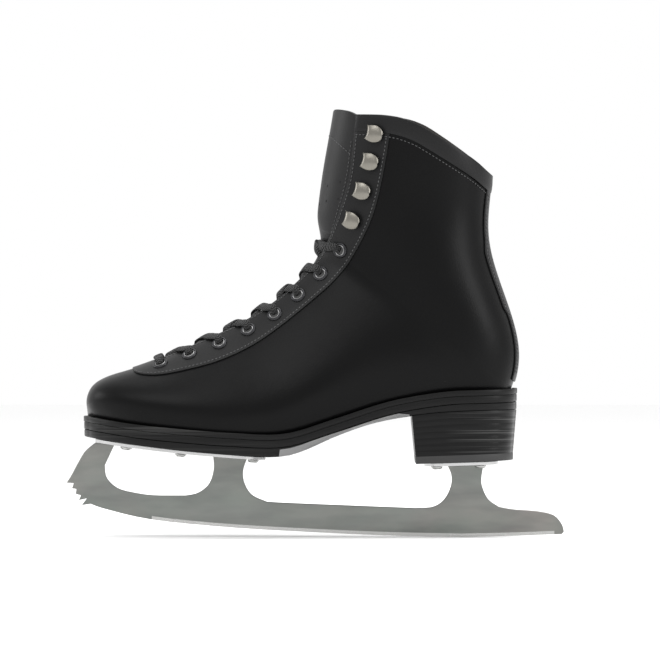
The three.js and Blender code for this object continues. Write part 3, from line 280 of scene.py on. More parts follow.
def section_at(s):
    i = int(min(max(math.floor(s), 0), LAST - 1))
    f = s - i
    a, b, c, d = (SECTIONS[min(max(k, 0), LAST)] for k in (i - 1, i, i + 1, i + 2))
    pace = PACES[i]
    before = PACES[max(i - 1, 0)]
    after = PACES[min(i + 1, LAST - 1)]
    slope = (c - b) / pace
    start = pace * ((b - a) / before * pace + slope * before) / (pace + before)
    end = pace * (slope * after + (d - c) / after * pace) / (pace + after)
    return b + f * (start + f * (3 * (c - b) - 2 * start - end + f * (2 * (b - c) + start + end)))


def drawn_point(s, angle, side):
    """A point of the form as drawn. Angle 0 is the ridge, and pi the middle of the sole or back."""
    fx, fz, bx, bz, wide, seat, widest, front_round, back_round, lean, flat = section_at(s)
    seat = 0.0 if s >= HEEL_CORNER else max(seat, 0.0)
    left = math.cos(angle)
    if angle <= math.pi / 2:
        def arch(r):
            return max(1 - max(left, 0.0) ** r, 0.0) ** (1 / r)
        along = widest * (1 - left)
        half = wide * (flat * arch(RIDGE_SQUARENESS) + (1 - flat) * arch(front_round))
    else:
        q = back_round
        reach = (1 - widest) / max(1 - min(seat / wide, 0.995) ** q, 1e-3) ** (1 / q)
        along = widest + reach * (-left) ** (2 / q)
        half = wide * max(math.sin(angle), 0.0) ** (2 / q)
    return (fx + (bx - fx) * along, lean + side * half, fz + (bz - fz) * along)


ROWS_PER_SECTION = 8
ANGLE_STEPS = 72
TABLE_S = np.linspace(0, LAST, LAST * ROWS_PER_SECTION + 1)
TABLE_A = np.linspace(0, math.pi, ANGLE_STEPS + 1)


def smooth_form(points, everywhere, more_behind):
    """Evens out the form so that no section shows as a crease, most of all over the ankle and the heel."""
    behind = np.clip((TABLE_S[1:-1] - 7.5) / 3, 0, 1)[:, None, None]
    for turn in range(everywhere + more_behind):
        centre = points[1:-1]
        across = np.concatenate([centre[:, 1:2], centre, centre[:, -2:-1]], axis=1)
        mean = (points[:-2] + points[2:] + across[:, :-2] + across[:, 2:]) / 4
        mean[:, 0, 1] = centre[:, 0, 1]
        mean[:, -1, 1] = centre[:, -1, 1]
        points[1:-1] = centre + 0.5 * (mean - centre) * (1 if turn < everywhere else behind)
    return points


FORM = {
    side: smooth_form(np.array([[drawn_point(s, a, side) for a in TABLE_A] for s in TABLE_S]), 14, 45)
    for side in (-1, 1)
}
SURE_ROW = 60  # a row through the instep, where outwards is plain to tell
HEART = (FORM[-1].mean(axis=1) + FORM[1].mean(axis=1)) / 2


def normals_of(side):
    points = FORM[side]
    normal = np.cross(np.gradient(points, axis=0), np.gradient(points, axis=1))
    for column in (0, -1):
        normal[:, column, 1] = 0
    length = np.linalg.norm(normal, axis=2, keepdims=True)
    normal = normal / np.maximum(length, 1e-9)
    middle = points.shape[1] // 2
    if np.sum(normal[SURE_ROW, middle] * (points[SURE_ROW, middle] - HEART[SURE_ROW])) < 0:
        normal = -normal
    return normal


FORM_NORMALS = {side: normals_of(side) for side in (-1, 1)}


def looked_up(table, s, angle):
    i = min(max(s * ROWS_PER_SECTION, 0), len(TABLE_S) - 1.001)
    j = min(max(angle / math.pi * ANGLE_STEPS, 0), ANGLE_STEPS - 0.001)
    i0, j0 = int(i), int(j)
    f, g = i - i0, j - j0
    return (
        (table[i0, j0] * (1 - g) + table[i0, j0 + 1] * g) * (1 - f)
        + (table[i0 + 1, j0] * (1 - g) + table[i0 + 1, j0 + 1] * g) * f
    )


def skin(s, angle, side, offset=0.0):
    """A point on the form, moved outwards by offset."""
    return looked_up(FORM[side], s, angle) + offset * skin_normal(s, angle, side)


def skin_normal(s, angle, side):
    normal = looked_up(FORM_NORMALS[side], s, angle)
    return normal / np.linalg.norm(normal)


# ---- Outlines that cut the form, drawn from the side ----


def spline(points, steps):
    """Points along a smooth curve through the given ones."""
    p = np.array(points, float)
    out = []
    for i in range(len(p) - 1):
        a, b, c, d = p[max(i - 1, 0)], p[i], p[i + 1], p[min(i + 2, len(p) - 1)]
        for t in np.arange(steps) / steps:
            square, cube = 2 * a - 5 * b + 4 * c - d, 3 * b - a - 3 * c + d
            out.append(0.5 * (2 * b + (c - a) * t + square * t**2 + cube * t**3))
    return np.array(out + [p[-1]])


FAR_FRONT = [[-60, 420], [-260, 420], [-260, 119]]
THROAT = np.vstack([spline([
    [-111, 117.5], [-104, 117.1], [-90, 122.6], [-72, 130.6], [-54, 138.8], [-37, 148.4], [-23, 158.4], [-9, 171.2],
    [1.4, 182.4], [9, 196.4], [16, 214.5], [22.5, 236], [25.6, 260], [27.8, 281], [29, 300],
], 8), [[30, 420]], FAR_FRONT, [[-111, 119]]])
FACING_AREA = np.vstack([spline([
    [-121.5, 118], [-120.6, 111], [-115, 108], [-103, 107.6], [-87, 110.4], [-64, 116.6], [-42, 126.6], [-22.8, 139.6],
    [0.3, 158.4], [12.9, 170], [24.5, 185], [38.5, 214], [47, 252], [50.5, 281], [52, 300],
], 8), [[52, 420]], FAR_FRONT, [[-121.5, 119]]])
STAY_AREA = np.vstack([spline([
    [118, 310], [116, 275], [114.6, 250], [113.2, 227], [111.8, 200], [112.8, 178], [117.2, 163.6], [129.4, 142.6],
    [134.6, 125], [131.6, 104], [129.6, 97],
], 8), [[129, 60], [300, 60], [300, 310]]])
COLLAR = spline([
    [-20, 279.4], [29, 279.2], [49, 277.9], [63, 274.2], [76.4, 267.2], [103, 250.6], [117, 239.4], [140, 226],
], 8)
SOLE_BOTTOM = spline([
    [-156, 67], [-118, 61.6], [-86, 57.8], [-52, 55], [-34, 53.8], [-18, 54.6], [-4, 59], [14, 67.2], [37, 75.4],
    [62, 80.4], [90, 83.4], [136, 84.6],
], 8)


def inside(area, x, z):
    x0, z0 = area[:, 0], area[:, 1]
    x1, z1 = np.roll(x0, -1), np.roll(z0, -1)
    crosses = (z0 > z) != (z1 > z)
    rise = np.where(crosses, z1 - z0, 1.0)
    return bool(np.sum(crosses & (x < (x1 - x0) * (z - z0) / rise + x0)) % 2)


_edges = {}


def edge_angle(area, s, side, low=0.0, high=2.0):
    """Where a section leaves an area, going from low to high. It is low where the section never enters."""
    key = (id(area), round(s, 4), side, low)
    if key not in _edges:
        a, b = low, high
        point = skin(s, a, side)
        if not inside(area, point[0], point[2]):
            return _edges.setdefault(key, low)
        for _ in range(20):
            middle = (a + b) / 2
            point = skin(s, middle, side)
            if inside(area, point[0], point[2]):
                a = middle
            else:
                b = middle
        _edges[key] = a
    return _edges[key]


def throat_angle(s, side):
    return edge_angle(THROAT, s, side)


def facing_angle(s, side):
    return edge_angle(FACING_AREA, s, side)


STAY_NARROWEST = 11.5
STAY_WIDEST = 14.5


def stay_angle(s, side):
    """The stay's edge, kept between its narrowest and its widest half width."""
    speed = np.linalg.norm(skin(s, math.pi - 0.15, side) - skin(s, math.pi, side)) / 0.15
    drawn = (math.pi - edge_angle(STAY_AREA, s, side, math.pi, 1.2)) * speed
    return math.pi - min(max(drawn, STAY_NARROWEST), STAY_WIDEST) / speed


def seat_angle(s):
    if s >= HEEL_CORNER:
        return math.pi
    row = section_at(s)
    return math.pi - math.asin(min(max(row[5], 0.0) / row[4], 0.999) ** (row[8] / 2))


def last_below(is_below):
    """The highest section up the shaft that is still below something."""
    low, high = 15.0, float(LAST)
    for _ in range(18):
        middle = (low + high) / 2
        if is_below(middle):
            low = middle
        else:
            high = middle
    return low


def under_collar(angle_at, side):
    """The section at which a line up the shaft meets the collar."""
    def is_below(s):
        point = skin(s, angle_at(s), side)
        return point[2] < np.interp(point[0], COLLAR[:, 0], COLLAR[:, 1])

    return last_below(is_below)


SHAFT_START = 16.0


def trimmed(s, top):
    """Sections over the shaft's start are drawn together so that the last one lies on the collar."""
    if s < SHAFT_START:
        return s
    return SHAFT_START + (s - SHAFT_START) * (top - SHAFT_START) / (LAST - SHAFT_START)


# ---- Meshes ----


def add_piece(name, mesh, finishes, body=BOOT, slot=None, hides=(), smooth_angle=35.0, ride=True):
    mesh.validate()
    piece = bpy.data.objects.new(name, mesh)
    bpy.context.scene.collection.objects.link(piece)
    for finish in finishes:
        mesh.materials.append(finish)
    mesh.polygons.foreach_set("use_smooth", [True] * len(mesh.polygons))
    mesh.set_sharp_from_angle(angle=math.radians(smooth_angle))
    if hides:
        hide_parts(*hides)
    if ride:
        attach(piece, body)
    return piece


def draft_mesh(name, points, faces):
    """A mesh from points in millimetres."""
    mesh = bpy.data.meshes.new(name)
    mesh.from_pydata([tuple(float(c) * MM for c in p) for p in points], [], faces)
    return mesh


def faced_outwards(mesh, merge=0.0, outward_from=None):
    """The mesh with its doubles merged, where merge is given, and its faces turned outwards."""
    work = bmesh.new()
    work.from_mesh(mesh)
    if merge:
        bmesh.ops.remove_doubles(work, verts=work.verts, dist=merge * MM)
        bmesh.ops.dissolve_degenerate(work, edges=work.edges, dist=1e-7)
    bmesh.ops.recalc_face_normals(work, faces=work.faces)
    if outward_from is not None:
        total = 0.0
        for face in work.faces:
            centre = face.calc_center_median()
            total += face.calc_area() * face.normal.dot(centre - outward_from(centre))
        if total < 0:
            bmesh.ops.reverse_faces(work, faces=work.faces)
    work.to_mesh(mesh)
    work.free()
    return mesh


def form_heart(point):
    """The middle of the form nearest to a point, to tell outside from inside."""
    distance = np.linalg.norm(HEART * MM - np.array(point), axis=1)
    return Vector(HEART[int(np.argmin(distance))] * MM)


def shell_points(rows, columns, place):
    points, faces = [], []
    for side in (-1, 1):
        start = len(points)
        points += [place(side, row, column) for row in rows for column in columns]
        across = len(columns)
        for i in range(len(rows) - 1):
            for j in range(across - 1):
                a = start + i * across + j
                faces.append((a, a + 1, a + across + 1, a + across))
    return points, faces


def shell(name, rows, columns, place, thickness, finishes, rim=0.3, **how):
    """A sheet over both sides of the form, given its thickness inwards and a softened rim."""
    points, faces = shell_points(rows, columns, place)
    mesh = faced_outwards(draft_mesh(name, points, faces), 0.02, form_heart)
    piece = add_piece(name, mesh, finishes, **how)
    wall = piece.modifiers.new("wall", "SOLIDIFY")
    wall.thickness = thickness * MM
    wall.offset = -1.0
    wall.use_even_offset = False
    if rim:
        soft = piece.modifiers.new("rim", "BEVEL")
        soft.width = rim * MM
        soft.segments = 2
        soft.limit_method = "ANGLE"
        soft.angle_limit = math.radians(60)
    return piece


THROAT_START = next(s for s in np.arange(4.0, 6.0, 0.01) if throat_angle(s, -1) > 0.02)
FACING_START = next(s for s in np.arange(3.0, 6.0, 0.01) if facing_angle(s, -1) > 0.02)


def around(start, first, last, step):
    """Even sections, with a few close together just after a start, where an outline turns its round end."""
    close = start + np.array([0.0, 0.01, 0.025, 0.05, 0.085, 0.13, 0.19, 0.27])
    even = np.arange(first, last, step)
    even = even[(even < start - 0.02) | (even > start + 0.33)]
    return np.sort(np.concatenate([close, even, [last]]))


FACING_LIFT = 0.9
UPPER_WALL = 2.0
UPPER_COLUMNS = np.linspace(0, 1, 61) ** 1.2


def lower_edge(s, _side):
    return min(seat_angle(s) + 0.05, math.pi)


def back_line(_s, _side):
    return math.pi


def between(front, rear):
    """An angle that goes from one edge line to another as u goes from 0 to 1."""
    def angle(side, s, u):
        start = front(s, side)
        return start + (rear(s, side) - start) * u

    return angle


def collar_meets(angle, columns):
    """The section at which each column of a sheet meets the collar."""
    return {(side, u): under_collar(lambda s: angle(side, s, u), side) for side in (-1, 1) for u in columns}


def laid(angle, tops, lift=0.0):
    """Places a sheet on the form, with its top cut along the collar."""
    def place(side, s, u):
        s = trimmed(s, tops[side, u])
        return skin(s, angle(side, s, u), side, lift)

    return place


def make_upper():
    angle = between(throat_angle, lower_edge)
    tops = collar_meets(angle, UPPER_COLUMNS)
    shell(
        "boot_upper", around(THROAT_START, 0.0, LAST, 0.14), UPPER_COLUMNS, laid(angle, tops), UPPER_WALL,
        [BOOT_LEATHER], slot="upper_leather", hides=["upper"],
    )

    def lining_angle(side, s, u):
        return min(angle(side, s, u) + 0.16 * (1 - u), math.pi)

    shell(
        "boot_lining", around(THROAT_START, 1.0, LAST, 0.25), UPPER_COLUMNS,
        laid(lining_angle, tops, 0.05 - UPPER_WALL), 0.8, [LINING_CLOTH], slot="lining_leather", hides=["lining"],
    )


def make_facing():
    columns = np.linspace(0, 1, 11)
    angle = between(throat_angle, facing_angle)
    place = laid(angle, collar_meets(angle, columns), FACING_LIFT)
    rows = np.union1d(
        around(THROAT_START, FACING_START, LAST, 0.12), around(FACING_START, FACING_START, 4.4, 0.1),
    )
    shell("lace_facing", rows, columns, place, 1.0, [FACING_LEATHER_PAINTED_HIGHLIGHT], slot="facing_leather", hides=["facing"])


def make_back_stay():
    columns = np.linspace(0, 1, 9)
    angle = between(stay_angle, back_line)
    shell(
        "back_stay_strip", np.arange(14.1, LAST + 0.01, 0.15), columns,
        laid(angle, collar_meets(angle, columns), 1.0), 1.15, [FACING_LEATHER_PAINTED_HIGHLIGHT],
        slot="stay_leather", hides=["back_stay"], rim=0.4,
    )


def collar_band():
    """The folded edge of the collar: a thin strip that stands a little proud."""
    columns = np.linspace(0, 1, 41)
    width = 0.42
    angle = between(throat_angle, back_line)
    tops = collar_meets(angle, columns)

    def place(side, row, u):
        s = tops[side, u] - width * (1 - row)
        lift = 1.25 + 0.35 * math.sin(math.pi * min(row + 0.1, 1))
        return skin(s, angle(side, s, u), side, lift)

    rows = np.linspace(0, 1, 5)
    shell("collar_edge_band", rows, columns, place, 1.3, [FACING_LEATHER_PAINTED_HIGHLIGHT], slot="facing_leather")


# ---- Soles and heel ----

SEAT_S = np.linspace(0, HEEL_CORNER, 141)
SEAT_LINE = np.array([section_at(s) for s in SEAT_S])[:, 2:4]


def seat_height(x):
    return float(np.interp(x, SEAT_LINE[:, 0], SEAT_LINE[:, 1]))


def sole_bottom(x):
    return float(np.interp(x, SOLE_BOTTOM[:, 0], SOLE_BOTTOM[:, 1]))


TOE_BLUNT = 0.8  # the sole's tip is rounded over this much of the first section


def seat_edge(s, side, margin):
    def at(v):
        row = section_at(min(v, HEEL_CORNER - 1e-4))
        return np.array([row[2], row[9] + side * max(row[5], 0.0)])

    if s >= HEEL_CORNER - 1e-6:
        return np.array([at(s)[0] + margin, at(s)[1] * 0])
    blunt = min(s / TOE_BLUNT, 1.0)
    along = at(min(s + 0.04, HEEL_CORNER - 1e-3)) - at(max(s - 0.04, 0))
    normal = np.array([-along[1], along[0] * blunt]) * side
    place = at(s)
    place[0] = SECTIONS[0, 2] + (place[0] - SECTIONS[0, 2]) * blunt if s < TOE_BLUNT else place[0]
    return place + margin * normal / np.linalg.norm(normal)


def stations(first, last, count):
    turn = np.linspace(0, math.pi, count)
    return first + (last - first) * (1 - np.cos(turn)) / 2


def section_over(x):
    return float(np.interp(x, SEAT_LINE[:, 0], SEAT_S))


def slab(name, profile, first, last, finishes, count=110, lean=None, second=None, **how):
    """A layer under the seat. profile(x) lists (margin, height) down the edge, from its top to its bottom."""
    points, faces = [], []
    steps = stations(first, last, count)
    for s in steps:
        ring = []
        for side in (-1, 1):
            x = seat_edge(s, side, 2)[0]
            line = []
            for margin, height in profile(x):
                place = seat_edge(s, side, margin)
                shift = lean(place[0], height) if lean else 0.0
                line.append((place[0] + shift, place[1], height))
            ring += line if side < 0 else line[::-1]
        points += ring
    size = len(ring)
    for i in range(len(steps) - 1):
        for j in range(size):
            k = (j + 1) % size
            a = i * size
            faces.append((a + j, a + k, a + size + k, a + size + j))
    faces.append(tuple(range(size)))
    faces.append(tuple(range((len(steps) - 1) * size, len(steps) * size))[::-1])
    mesh = faced_outwards(draft_mesh(name, points, faces), 0.01)
    piece = add_piece(name, mesh, finishes, **how)
    if second:
        for face in mesh.polygons:
            if second(face.center / MM, face.normal):
                face.material_index = 1
    return piece


def rounded_edge(margin, top, bottom, radius=0.45):
    down = [(2.2, 0), (1, 0.12), (0.3, 0.4), (0, 1)]
    return [
        *((margin - inset * radius, top - drop * radius) for inset, drop in down),
        *((margin - inset * radius, bottom + rise * radius) for inset, rise in down[::-1]),
    ]


SOLE_MARGIN = 2.5
HEEL_FRONT = 63.7
CAP_THICKNESS = 5.0


def cap_bottom(x):
    return 49.2 + (x - 66.7) * 2 / 64.4


def waist(x):
    """How far the edge is bevelled under the waist of the sole, fading out at both ends."""
    rise = np.clip((x + 52) / 30, 0, 1)
    fall = np.clip((HEEL_FRONT - 1 - x) / 6, 0, 1)
    return float(0.6 + 4.0 * rise * rise * (3 - 2 * rise) * fall)


def make_soles():
    slab(
        "welt_layer", lambda x: rounded_edge(SOLE_MARGIN + 0.3, seat_height(x) + 0.2, seat_height(x) - 3.6),
        0, HEEL_CORNER, [WELT_EDGE], slot="sole_leather", hides=["welt"],
    )
    slab(
        "midsole_layer", lambda x: rounded_edge(SOLE_MARGIN, seat_height(x) - 3.6, seat_height(x) - 8.6),
        0, HEEL_CORNER, [WELT_EDGE], slot="sole_leather", hides=["midsole"],
    )

    def bevelled(x):
        cut = waist(x)
        top, bottom = seat_height(x) - 8.6, sole_bottom(x)
        low = min(bottom + cut, top - 1.0)
        edge = SOLE_MARGIN - 0.15
        return [
            (edge - 1.0, top), (edge - 0.2, top - 0.25), (edge, top - 0.5), (edge, low + 0.3), (edge - 0.15, low),
            (edge - 0.15 - 0.75 * cut, bottom + 0.15), (edge - 0.7 - 0.75 * cut, bottom),
        ]

    # The faces of the waist bevel, which take the painted floor reflection.
    def takes_painted_floor_reflection(centre, normal):
        return -26 < centre.x < HEEL_FRONT and -0.97 < normal.z < -0.3 and abs(normal.y) > 0.2

    slab(
        "outsole_layer", bevelled, 0, HEEL_CORNER, [WELT_EDGE, BEVEL_PAINTED_FLOOR_REFLECTION], second=takes_painted_floor_reflection,
        slot="sole_leather", hides=["outsole"],
    )


def heel_lean(x, height):
    top, bottom = sole_bottom(x), cap_bottom(x)
    drop = np.clip((top - height) / (top - bottom), 0, 1)
    return float(drop * (2.8 - 3.6 * np.clip((x - 64) / 69, 0, 1)))


def make_heel():
    lifts = 7

    def stacked(x):
        top, bottom = sole_bottom(x), cap_bottom(x) + CAP_THICKNESS
        line = []
        for i in range(lifts):
            for share, inset in ((0.0, 0.14), (0.1, 0.0), (0.9, 0.0), (1.0, 0.14)):
                drop = (i + share) / lifts
                margin = 2.3 - 1.6 * drop - inset
                line.append((margin, top + (bottom - top) * drop))
        return line

    slab(
        "stacked_heel", stacked, section_over(HEEL_FRONT), HEEL_CORNER, [HEEL_EDGE], count=70, lean=heel_lean,
        slot="heel_stack", hides=["heel_block"], smooth_angle=50,
    )
    slab(
        "heel_top_piece",
        lambda x: rounded_edge(0.75, cap_bottom(x) + CAP_THICKNESS, cap_bottom(x), 0.4),
        section_over(HEEL_FRONT), HEEL_CORNER, [RUBBER], count=70, lean=heel_lean,
        slot="heel_top", hides=["heel_cap"],
    )


# ---- Steel ----


def cad_solid(name, nodes, finishes, bevel=0.25, **how):
    """A copy of machined pieces with broken edges, so that each edge catches the light."""
    work = bmesh.new()
    for each in nodes:
        work.from_mesh(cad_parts[each].data)
    bmesh.ops.remove_doubles(work, verts=work.verts, dist=1e-6)
    bmesh.ops.dissolve_limit(work, angle_limit=math.radians(0.7), verts=work.verts, edges=work.edges)
    bmesh.ops.recalc_face_normals(work, faces=work.faces)
    sharp = [e for e in work.edges if len(e.link_faces) == 2 and e.calc_face_angle(0) > math.radians(32)]
    bmesh.ops.bevel(
        work, geom=sharp, offset=bevel * MM, segments=1, profile=0.5, affect="EDGES", clamp_overlap=True,
    )
    bmesh.ops.triangulate(work, faces=[f for f in work.faces if len(f.verts) > 4])
    mesh = bpy.data.meshes.new(name)
    work.to_mesh(mesh)
    work.free()
    add_piece(name, mesh, finishes, hides=nodes, **how)


def runner_bottom():
    """The runner's lowest line, from under the toe picks to its tail."""
    low = {}
    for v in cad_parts["blade"].data.vertices:
        x, z = round(v.co.x / MM, 1), v.co.z / MM
        if -141 < x < 163 and z < (12 if x < 0 else 3):
            low[x] = min(low.get(x, 99.0), z)
    return np.array(sorted(low.items()))


GROUND_HEIGHT = 2.3
GROUND_PROUD = 0.04


def make_ground_edge():
    """The bright strip that sharpening leaves along the bottom of the runner."""
    line = runner_bottom()
    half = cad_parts["blade"].dimensions.y / MM / 2 + GROUND_PROUD
    points, faces = [], []
    for x, z in line:
        low, high = z + 0.05, z + GROUND_HEIGHT
        points += [(x, -half, low), (x, -half, high), (x, half, high), (x, half, low)]
    for i in range(len(line) - 1):
        a = 4 * i
        faces += [(a + j, a + (j + 1) % 4, a + 4 + (j + 1) % 4, a + 4 + j) for j in range(4)]
    faces += [(0, 1, 2, 3), tuple(range(4 * len(line) - 4, 4 * len(line)))]
    mesh = faced_outwards(draft_mesh("ground_edge", points, faces), 0.001)
    add_piece("ground_edge", mesh, [GROUND_STEEL], slot="blade_steel")


def make_steel():
    make_ground_edge()
    cad_solid("runner_blade", ["blade"], [BLADE_STEEL], bevel=0.3, slot="blade_steel", smooth_angle=22)
    for end in ("sole", "heel"):
        name = f"{end}_mounting_plate"
        cad_solid(name, [f"{end}_plate"], [PLATE_STEEL], slot="plate_chrome", smooth_angle=30)
    for end, count in (("sole", 6), ("heel", 4)):
        screws = [f"{end}_screw_{i + 1}" for i in range(count)]
        cad_solid(f"{end}_plate_screws", screws, [SCREW_STEEL], bevel=0.15, slot="screw")


# ---- Places on the leather ----

EYELET_PLACES = [
    (-102.1, 115), (-82.9, 121.4), (-63.1, 128.6), (-44.3, 137.6), (-26.7, 147.8), (-11.3, 160.4), (3.6, 174.4),
    (16.5, 189.8),
]
HOOK_PLACES = [(25.1, 209.2), (31.7, 228.4), (36.8, 247.7), (39.8, 266)]


def located(x, z, side):
    """Section and angle of the place that lies at x and z from the side."""
    reach = FORM[side][:, :40]
    gap = (reach[:, :, 0] - x) ** 2 + (reach[:, :, 2] - z) ** 2
    i, j = np.unravel_index(int(np.argmin(gap)), gap.shape)
    at = np.array([TABLE_S[i], TABLE_A[j]])
    for _ in range(6):
        here = skin(*at, side, FACING_LIFT)[[0, 2]]
        step = 0.02
        by_s = (skin(at[0] + step, at[1], side, FACING_LIFT)[[0, 2]] - here) / step
        by_a = (skin(at[0], at[1] + step, side, FACING_LIFT)[[0, 2]] - here) / step
        change = np.linalg.lstsq(np.array([by_s, by_a]).T, np.array([x, z]) - here, rcond=None)[0]
        at = at + np.clip(change, -0.3, 0.3)
    return at


class Place:
    """A place on the facing: its origin, its outward normal and the way to the throat."""

    def __init__(self, x, z, side):
        self.side = side
        self.s, self.angle = located(x, z, side)
        self.origin = skin(self.s, self.angle, side, FACING_LIFT)
        self.out = skin_normal(self.s, self.angle, side)
        toward = skin(self.s, self.angle - 0.03, side) - skin(self.s, self.angle + 0.03, side)
        toward -= self.out * np.dot(toward, self.out)
        self.toward = toward / np.linalg.norm(toward)
        self.across = np.cross(self.out, self.toward)

    def at(self, toward, up, across=0.0):
        return self.origin + self.toward * toward + self.out * up + self.across * across


EYELETS = {side: [Place(x, z, side) for x, z in EYELET_PLACES] for side in (-1, 1)}
HOOKS = {side: [Place(x, z, side) for x, z in HOOK_PLACES] for side in (-1, 1)}


def lathed(place, profile, turns=40):
    """Rings of a turned profile of (radius, height), standing on a place."""
    points, faces = [], []
    for radius, height in profile:
        for k in range(turns):
            turn = 2 * math.pi * k / turns
            points.append(place.at(radius * math.cos(turn), height, radius * math.sin(turn)))
    for i in range(len(profile) - 1):
        for k in range(turns):
            a, b = i * turns + k, i * turns + (k + 1) % turns
            faces.append((a, b, b + turns, a + turns))
    return points, faces


def gathered(parts):
    points, faces, marks = [], [], []
    for some_points, some_faces, mark in parts:
        start = len(points)
        points += list(some_points)
        faces += [tuple(start + i for i in face) for face in some_faces]
        marks += [mark] * len(some_faces)
    return points, faces, marks


def marked_mesh(name, points, faces, marks):
    """A mesh whose faces take the finishes that their marks number."""
    mesh = draft_mesh(name, points, faces)
    mesh.polygons.foreach_set("material_index", marks)
    return faced_outwards(mesh)


# radius and height of an eyelet's three turned pieces
FLANGE = [
    (3.35, 0.72), (3.6, 0.98), (4.1, 1.12), (4.6, 1.02), (5.0, 0.7), (5.2, 0.25), (5.2, -0.25), (3.35, -0.25),
    (3.35, 0.72),
]
SLEEVE = [
    (2.95, -0.2), (2.95, 0.62), (3.05, 0.86), (3.25, 0.95), (3.45, 0.84), (3.4, 0.5), (3.4, -0.2), (2.95, -0.2),
]
WELL = [(0.02, 0.06), (2.9, 0.06), (2.9, -0.1), (0.02, -0.1), (0.02, 0.06)]


def make_eyelets():
    for side, word in SIDES:
        parts = []
        for place in EYELETS[side]:
            for mark, profile in enumerate((FLANGE, SLEEVE, WELL)):
                parts.append((*lathed(place, profile), mark))
        name = f"eyelet_row_{word}"
        add_piece(
            name, marked_mesh(name, *gathered(parts)), [GUNMETAL, BARREL, EDGE_PAINT], slot="eyelet",
            hides=[f"eyelet_{word}_{i + 1}" for i in range(len(EYELET_PLACES))], smooth_angle=50,
        )


# toward the throat, height and half width down the bent strip of a hook, from its free lip to its base
HOOK_STRIP = [
    (-5.75, 3.75, 1.3), (-5.0, 4.1, 3.2), (-3.4, 4.6, 4.75), (0, 5.05, 5.75), (2.6, 4.85, 5.3), (4.3, 4.1, 4.75),
    (5.0, 2.9, 4.9), (4.5, 1.7, 4.5), (3.0, 1.0, 4.1), (-1, 0.8, 4.2), (-4.4, 0.8, 2.4),
]
HOOK_FLARE = 1.5


def make_hooks():
    strip = spline(HOOK_STRIP, 4)
    shares = np.linspace(-1, 1, 13)
    for side, word in SIDES:
        parts = []
        for place in HOOKS[side]:
            points, faces = [], []
            for toward, up, half in strip:
                bend = np.clip((toward - 1.5) / 3.5, 0, 1)
                for share in shares:
                    points.append(place.at(
                        toward + HOOK_FLARE * bend * (share * share - 0.35),
                        up - 1.25 * share * share * (up > 3) + 0.25 * bend, half * share,
                    ))
            width = len(shares)
            for i in range(len(strip) - 1):
                for j in range(width - 1):
                    a = i * width + j
                    faces.append((a, a + 1, a + width + 1, a + width))
            parts.append((points, faces, 0))
        name = f"speed_hooks_{word}"
        piece = add_piece(
            name, marked_mesh(name, *gathered(parts)), [NICKEL], slot="hook",
            hides=[f"hook_{word}_{i + 1}" for i in range(len(HOOK_PLACES))], smooth_angle=60,
        )
        wall = piece.modifiers.new("sheet", "SOLIDIFY")
        wall.thickness = 0.85 * MM
        wall.offset = 0.0
        soft = piece.modifiers.new("soft", "SUBSURF")
        soft.levels = soft.render_levels = 1


# ---- Lace ----


def lace_finish():
    """A braid whose ribs slant to and fro across it, drawn along its UVs in millimetres. Its colour follows the ribs:
    painted shade in the grooves and painted highlight on the crests.
    """
    finish, tree, shader = new_finish("braided_lace", (0.0085, 0.0085, 0.009), 0.8, specular=0.2)
    shader.inputs["Sheen Weight"].default_value = 0.12
    split = node(tree, "ShaderNodeSeparateXYZ", Vector=coordinates(tree, uv=True))
    slant = arithmetic(tree, "PINGPONG", split.outputs["X"], 0.5)
    line = arithmetic(tree, "MULTIPLY_ADD", slant, 2.4, split.outputs["Y"])
    rib = arithmetic(tree, "SINE", arithmetic(tree, "MULTIPLY", line, 2 * math.pi / 1.5))
    fill(tree, shader.inputs["Normal"], bump(tree, rib, 0.9, 0.0006))
    # Dark in the grooves and light on the crests, following the ribs: painted shade and painted highlight.
    groove_shade, light = (0.0025, 0.0025, 0.0025, 1), (0.012, 0.012, 0.0125, 1)
    fill(tree, shader.inputs["Base Color"], mixed(tree, ramp(tree, rib, -0.6, 0.9, 0.0, 1.0), groove_shade, light))
    return finish


LACE_FINISH = lace_finish()
LACE_THICKNESS = 1.7


def ribbon(route, normals, widths, thickness=LACE_THICKNESS, around_count=14):
    """Points, faces and UVs of a flat braid along a route, in millimetres, facing along the normals."""
    route = np.array(route)
    tangents = np.gradient(route, axis=0)
    lengths = np.concatenate([[0], np.cumsum(np.linalg.norm(np.diff(route, axis=0), axis=1))])
    points, faces, uvs = [], [], []
    for p, t, n, width in zip(route, tangents, normals, widths):
        t = t / np.linalg.norm(t)
        n = n - t * np.dot(n, t)
        n = n / np.linalg.norm(n)
        w = np.cross(t, n)
        for k in range(around_count):
            turn = 2 * math.pi * k / around_count
            c, s = math.cos(turn), math.sin(turn)
            aside = w * width / 2 * math.copysign(abs(c) ** 0.75, c)
            points.append(p + aside + n * thickness / 2 * math.copysign(abs(s) ** 0.8, s))
    for i in range(len(route) - 1):
        for k in range(around_count):
            m = (k + 1) % around_count
            a = i * around_count
            faces.append((a + k, a + m, a + around_count + m, a + around_count + k))
            u0, u1 = k / around_count * 4, (k + 1) / around_count * 4
            uvs += [(u0, lengths[i]), (u1, lengths[i]), (u1, lengths[i + 1]), (u0, lengths[i + 1])]
    for first in (0, (len(route) - 1) * around_count):
        faces.append(tuple(range(first, first + around_count)))
        uvs += [(0, 0)] * around_count
    return points, faces, uvs


def speed_at(s, angle, side):
    """How far the skin goes for each radian of angle."""
    return np.linalg.norm(skin(s, angle + 0.02, side) - skin(s, angle, side)) / 0.02


def near_throat(s, side, inwards, offset):
    angle = throat_angle(s, side)
    angle = max(angle - inwards / speed_at(s, angle, side), 0.0)
    return skin(s, angle, side, offset), skin_normal(s, angle, side)


TONGUE_DROP = 1.8
LACE_WIDTH = 6.4
LACE_STEPS = 6


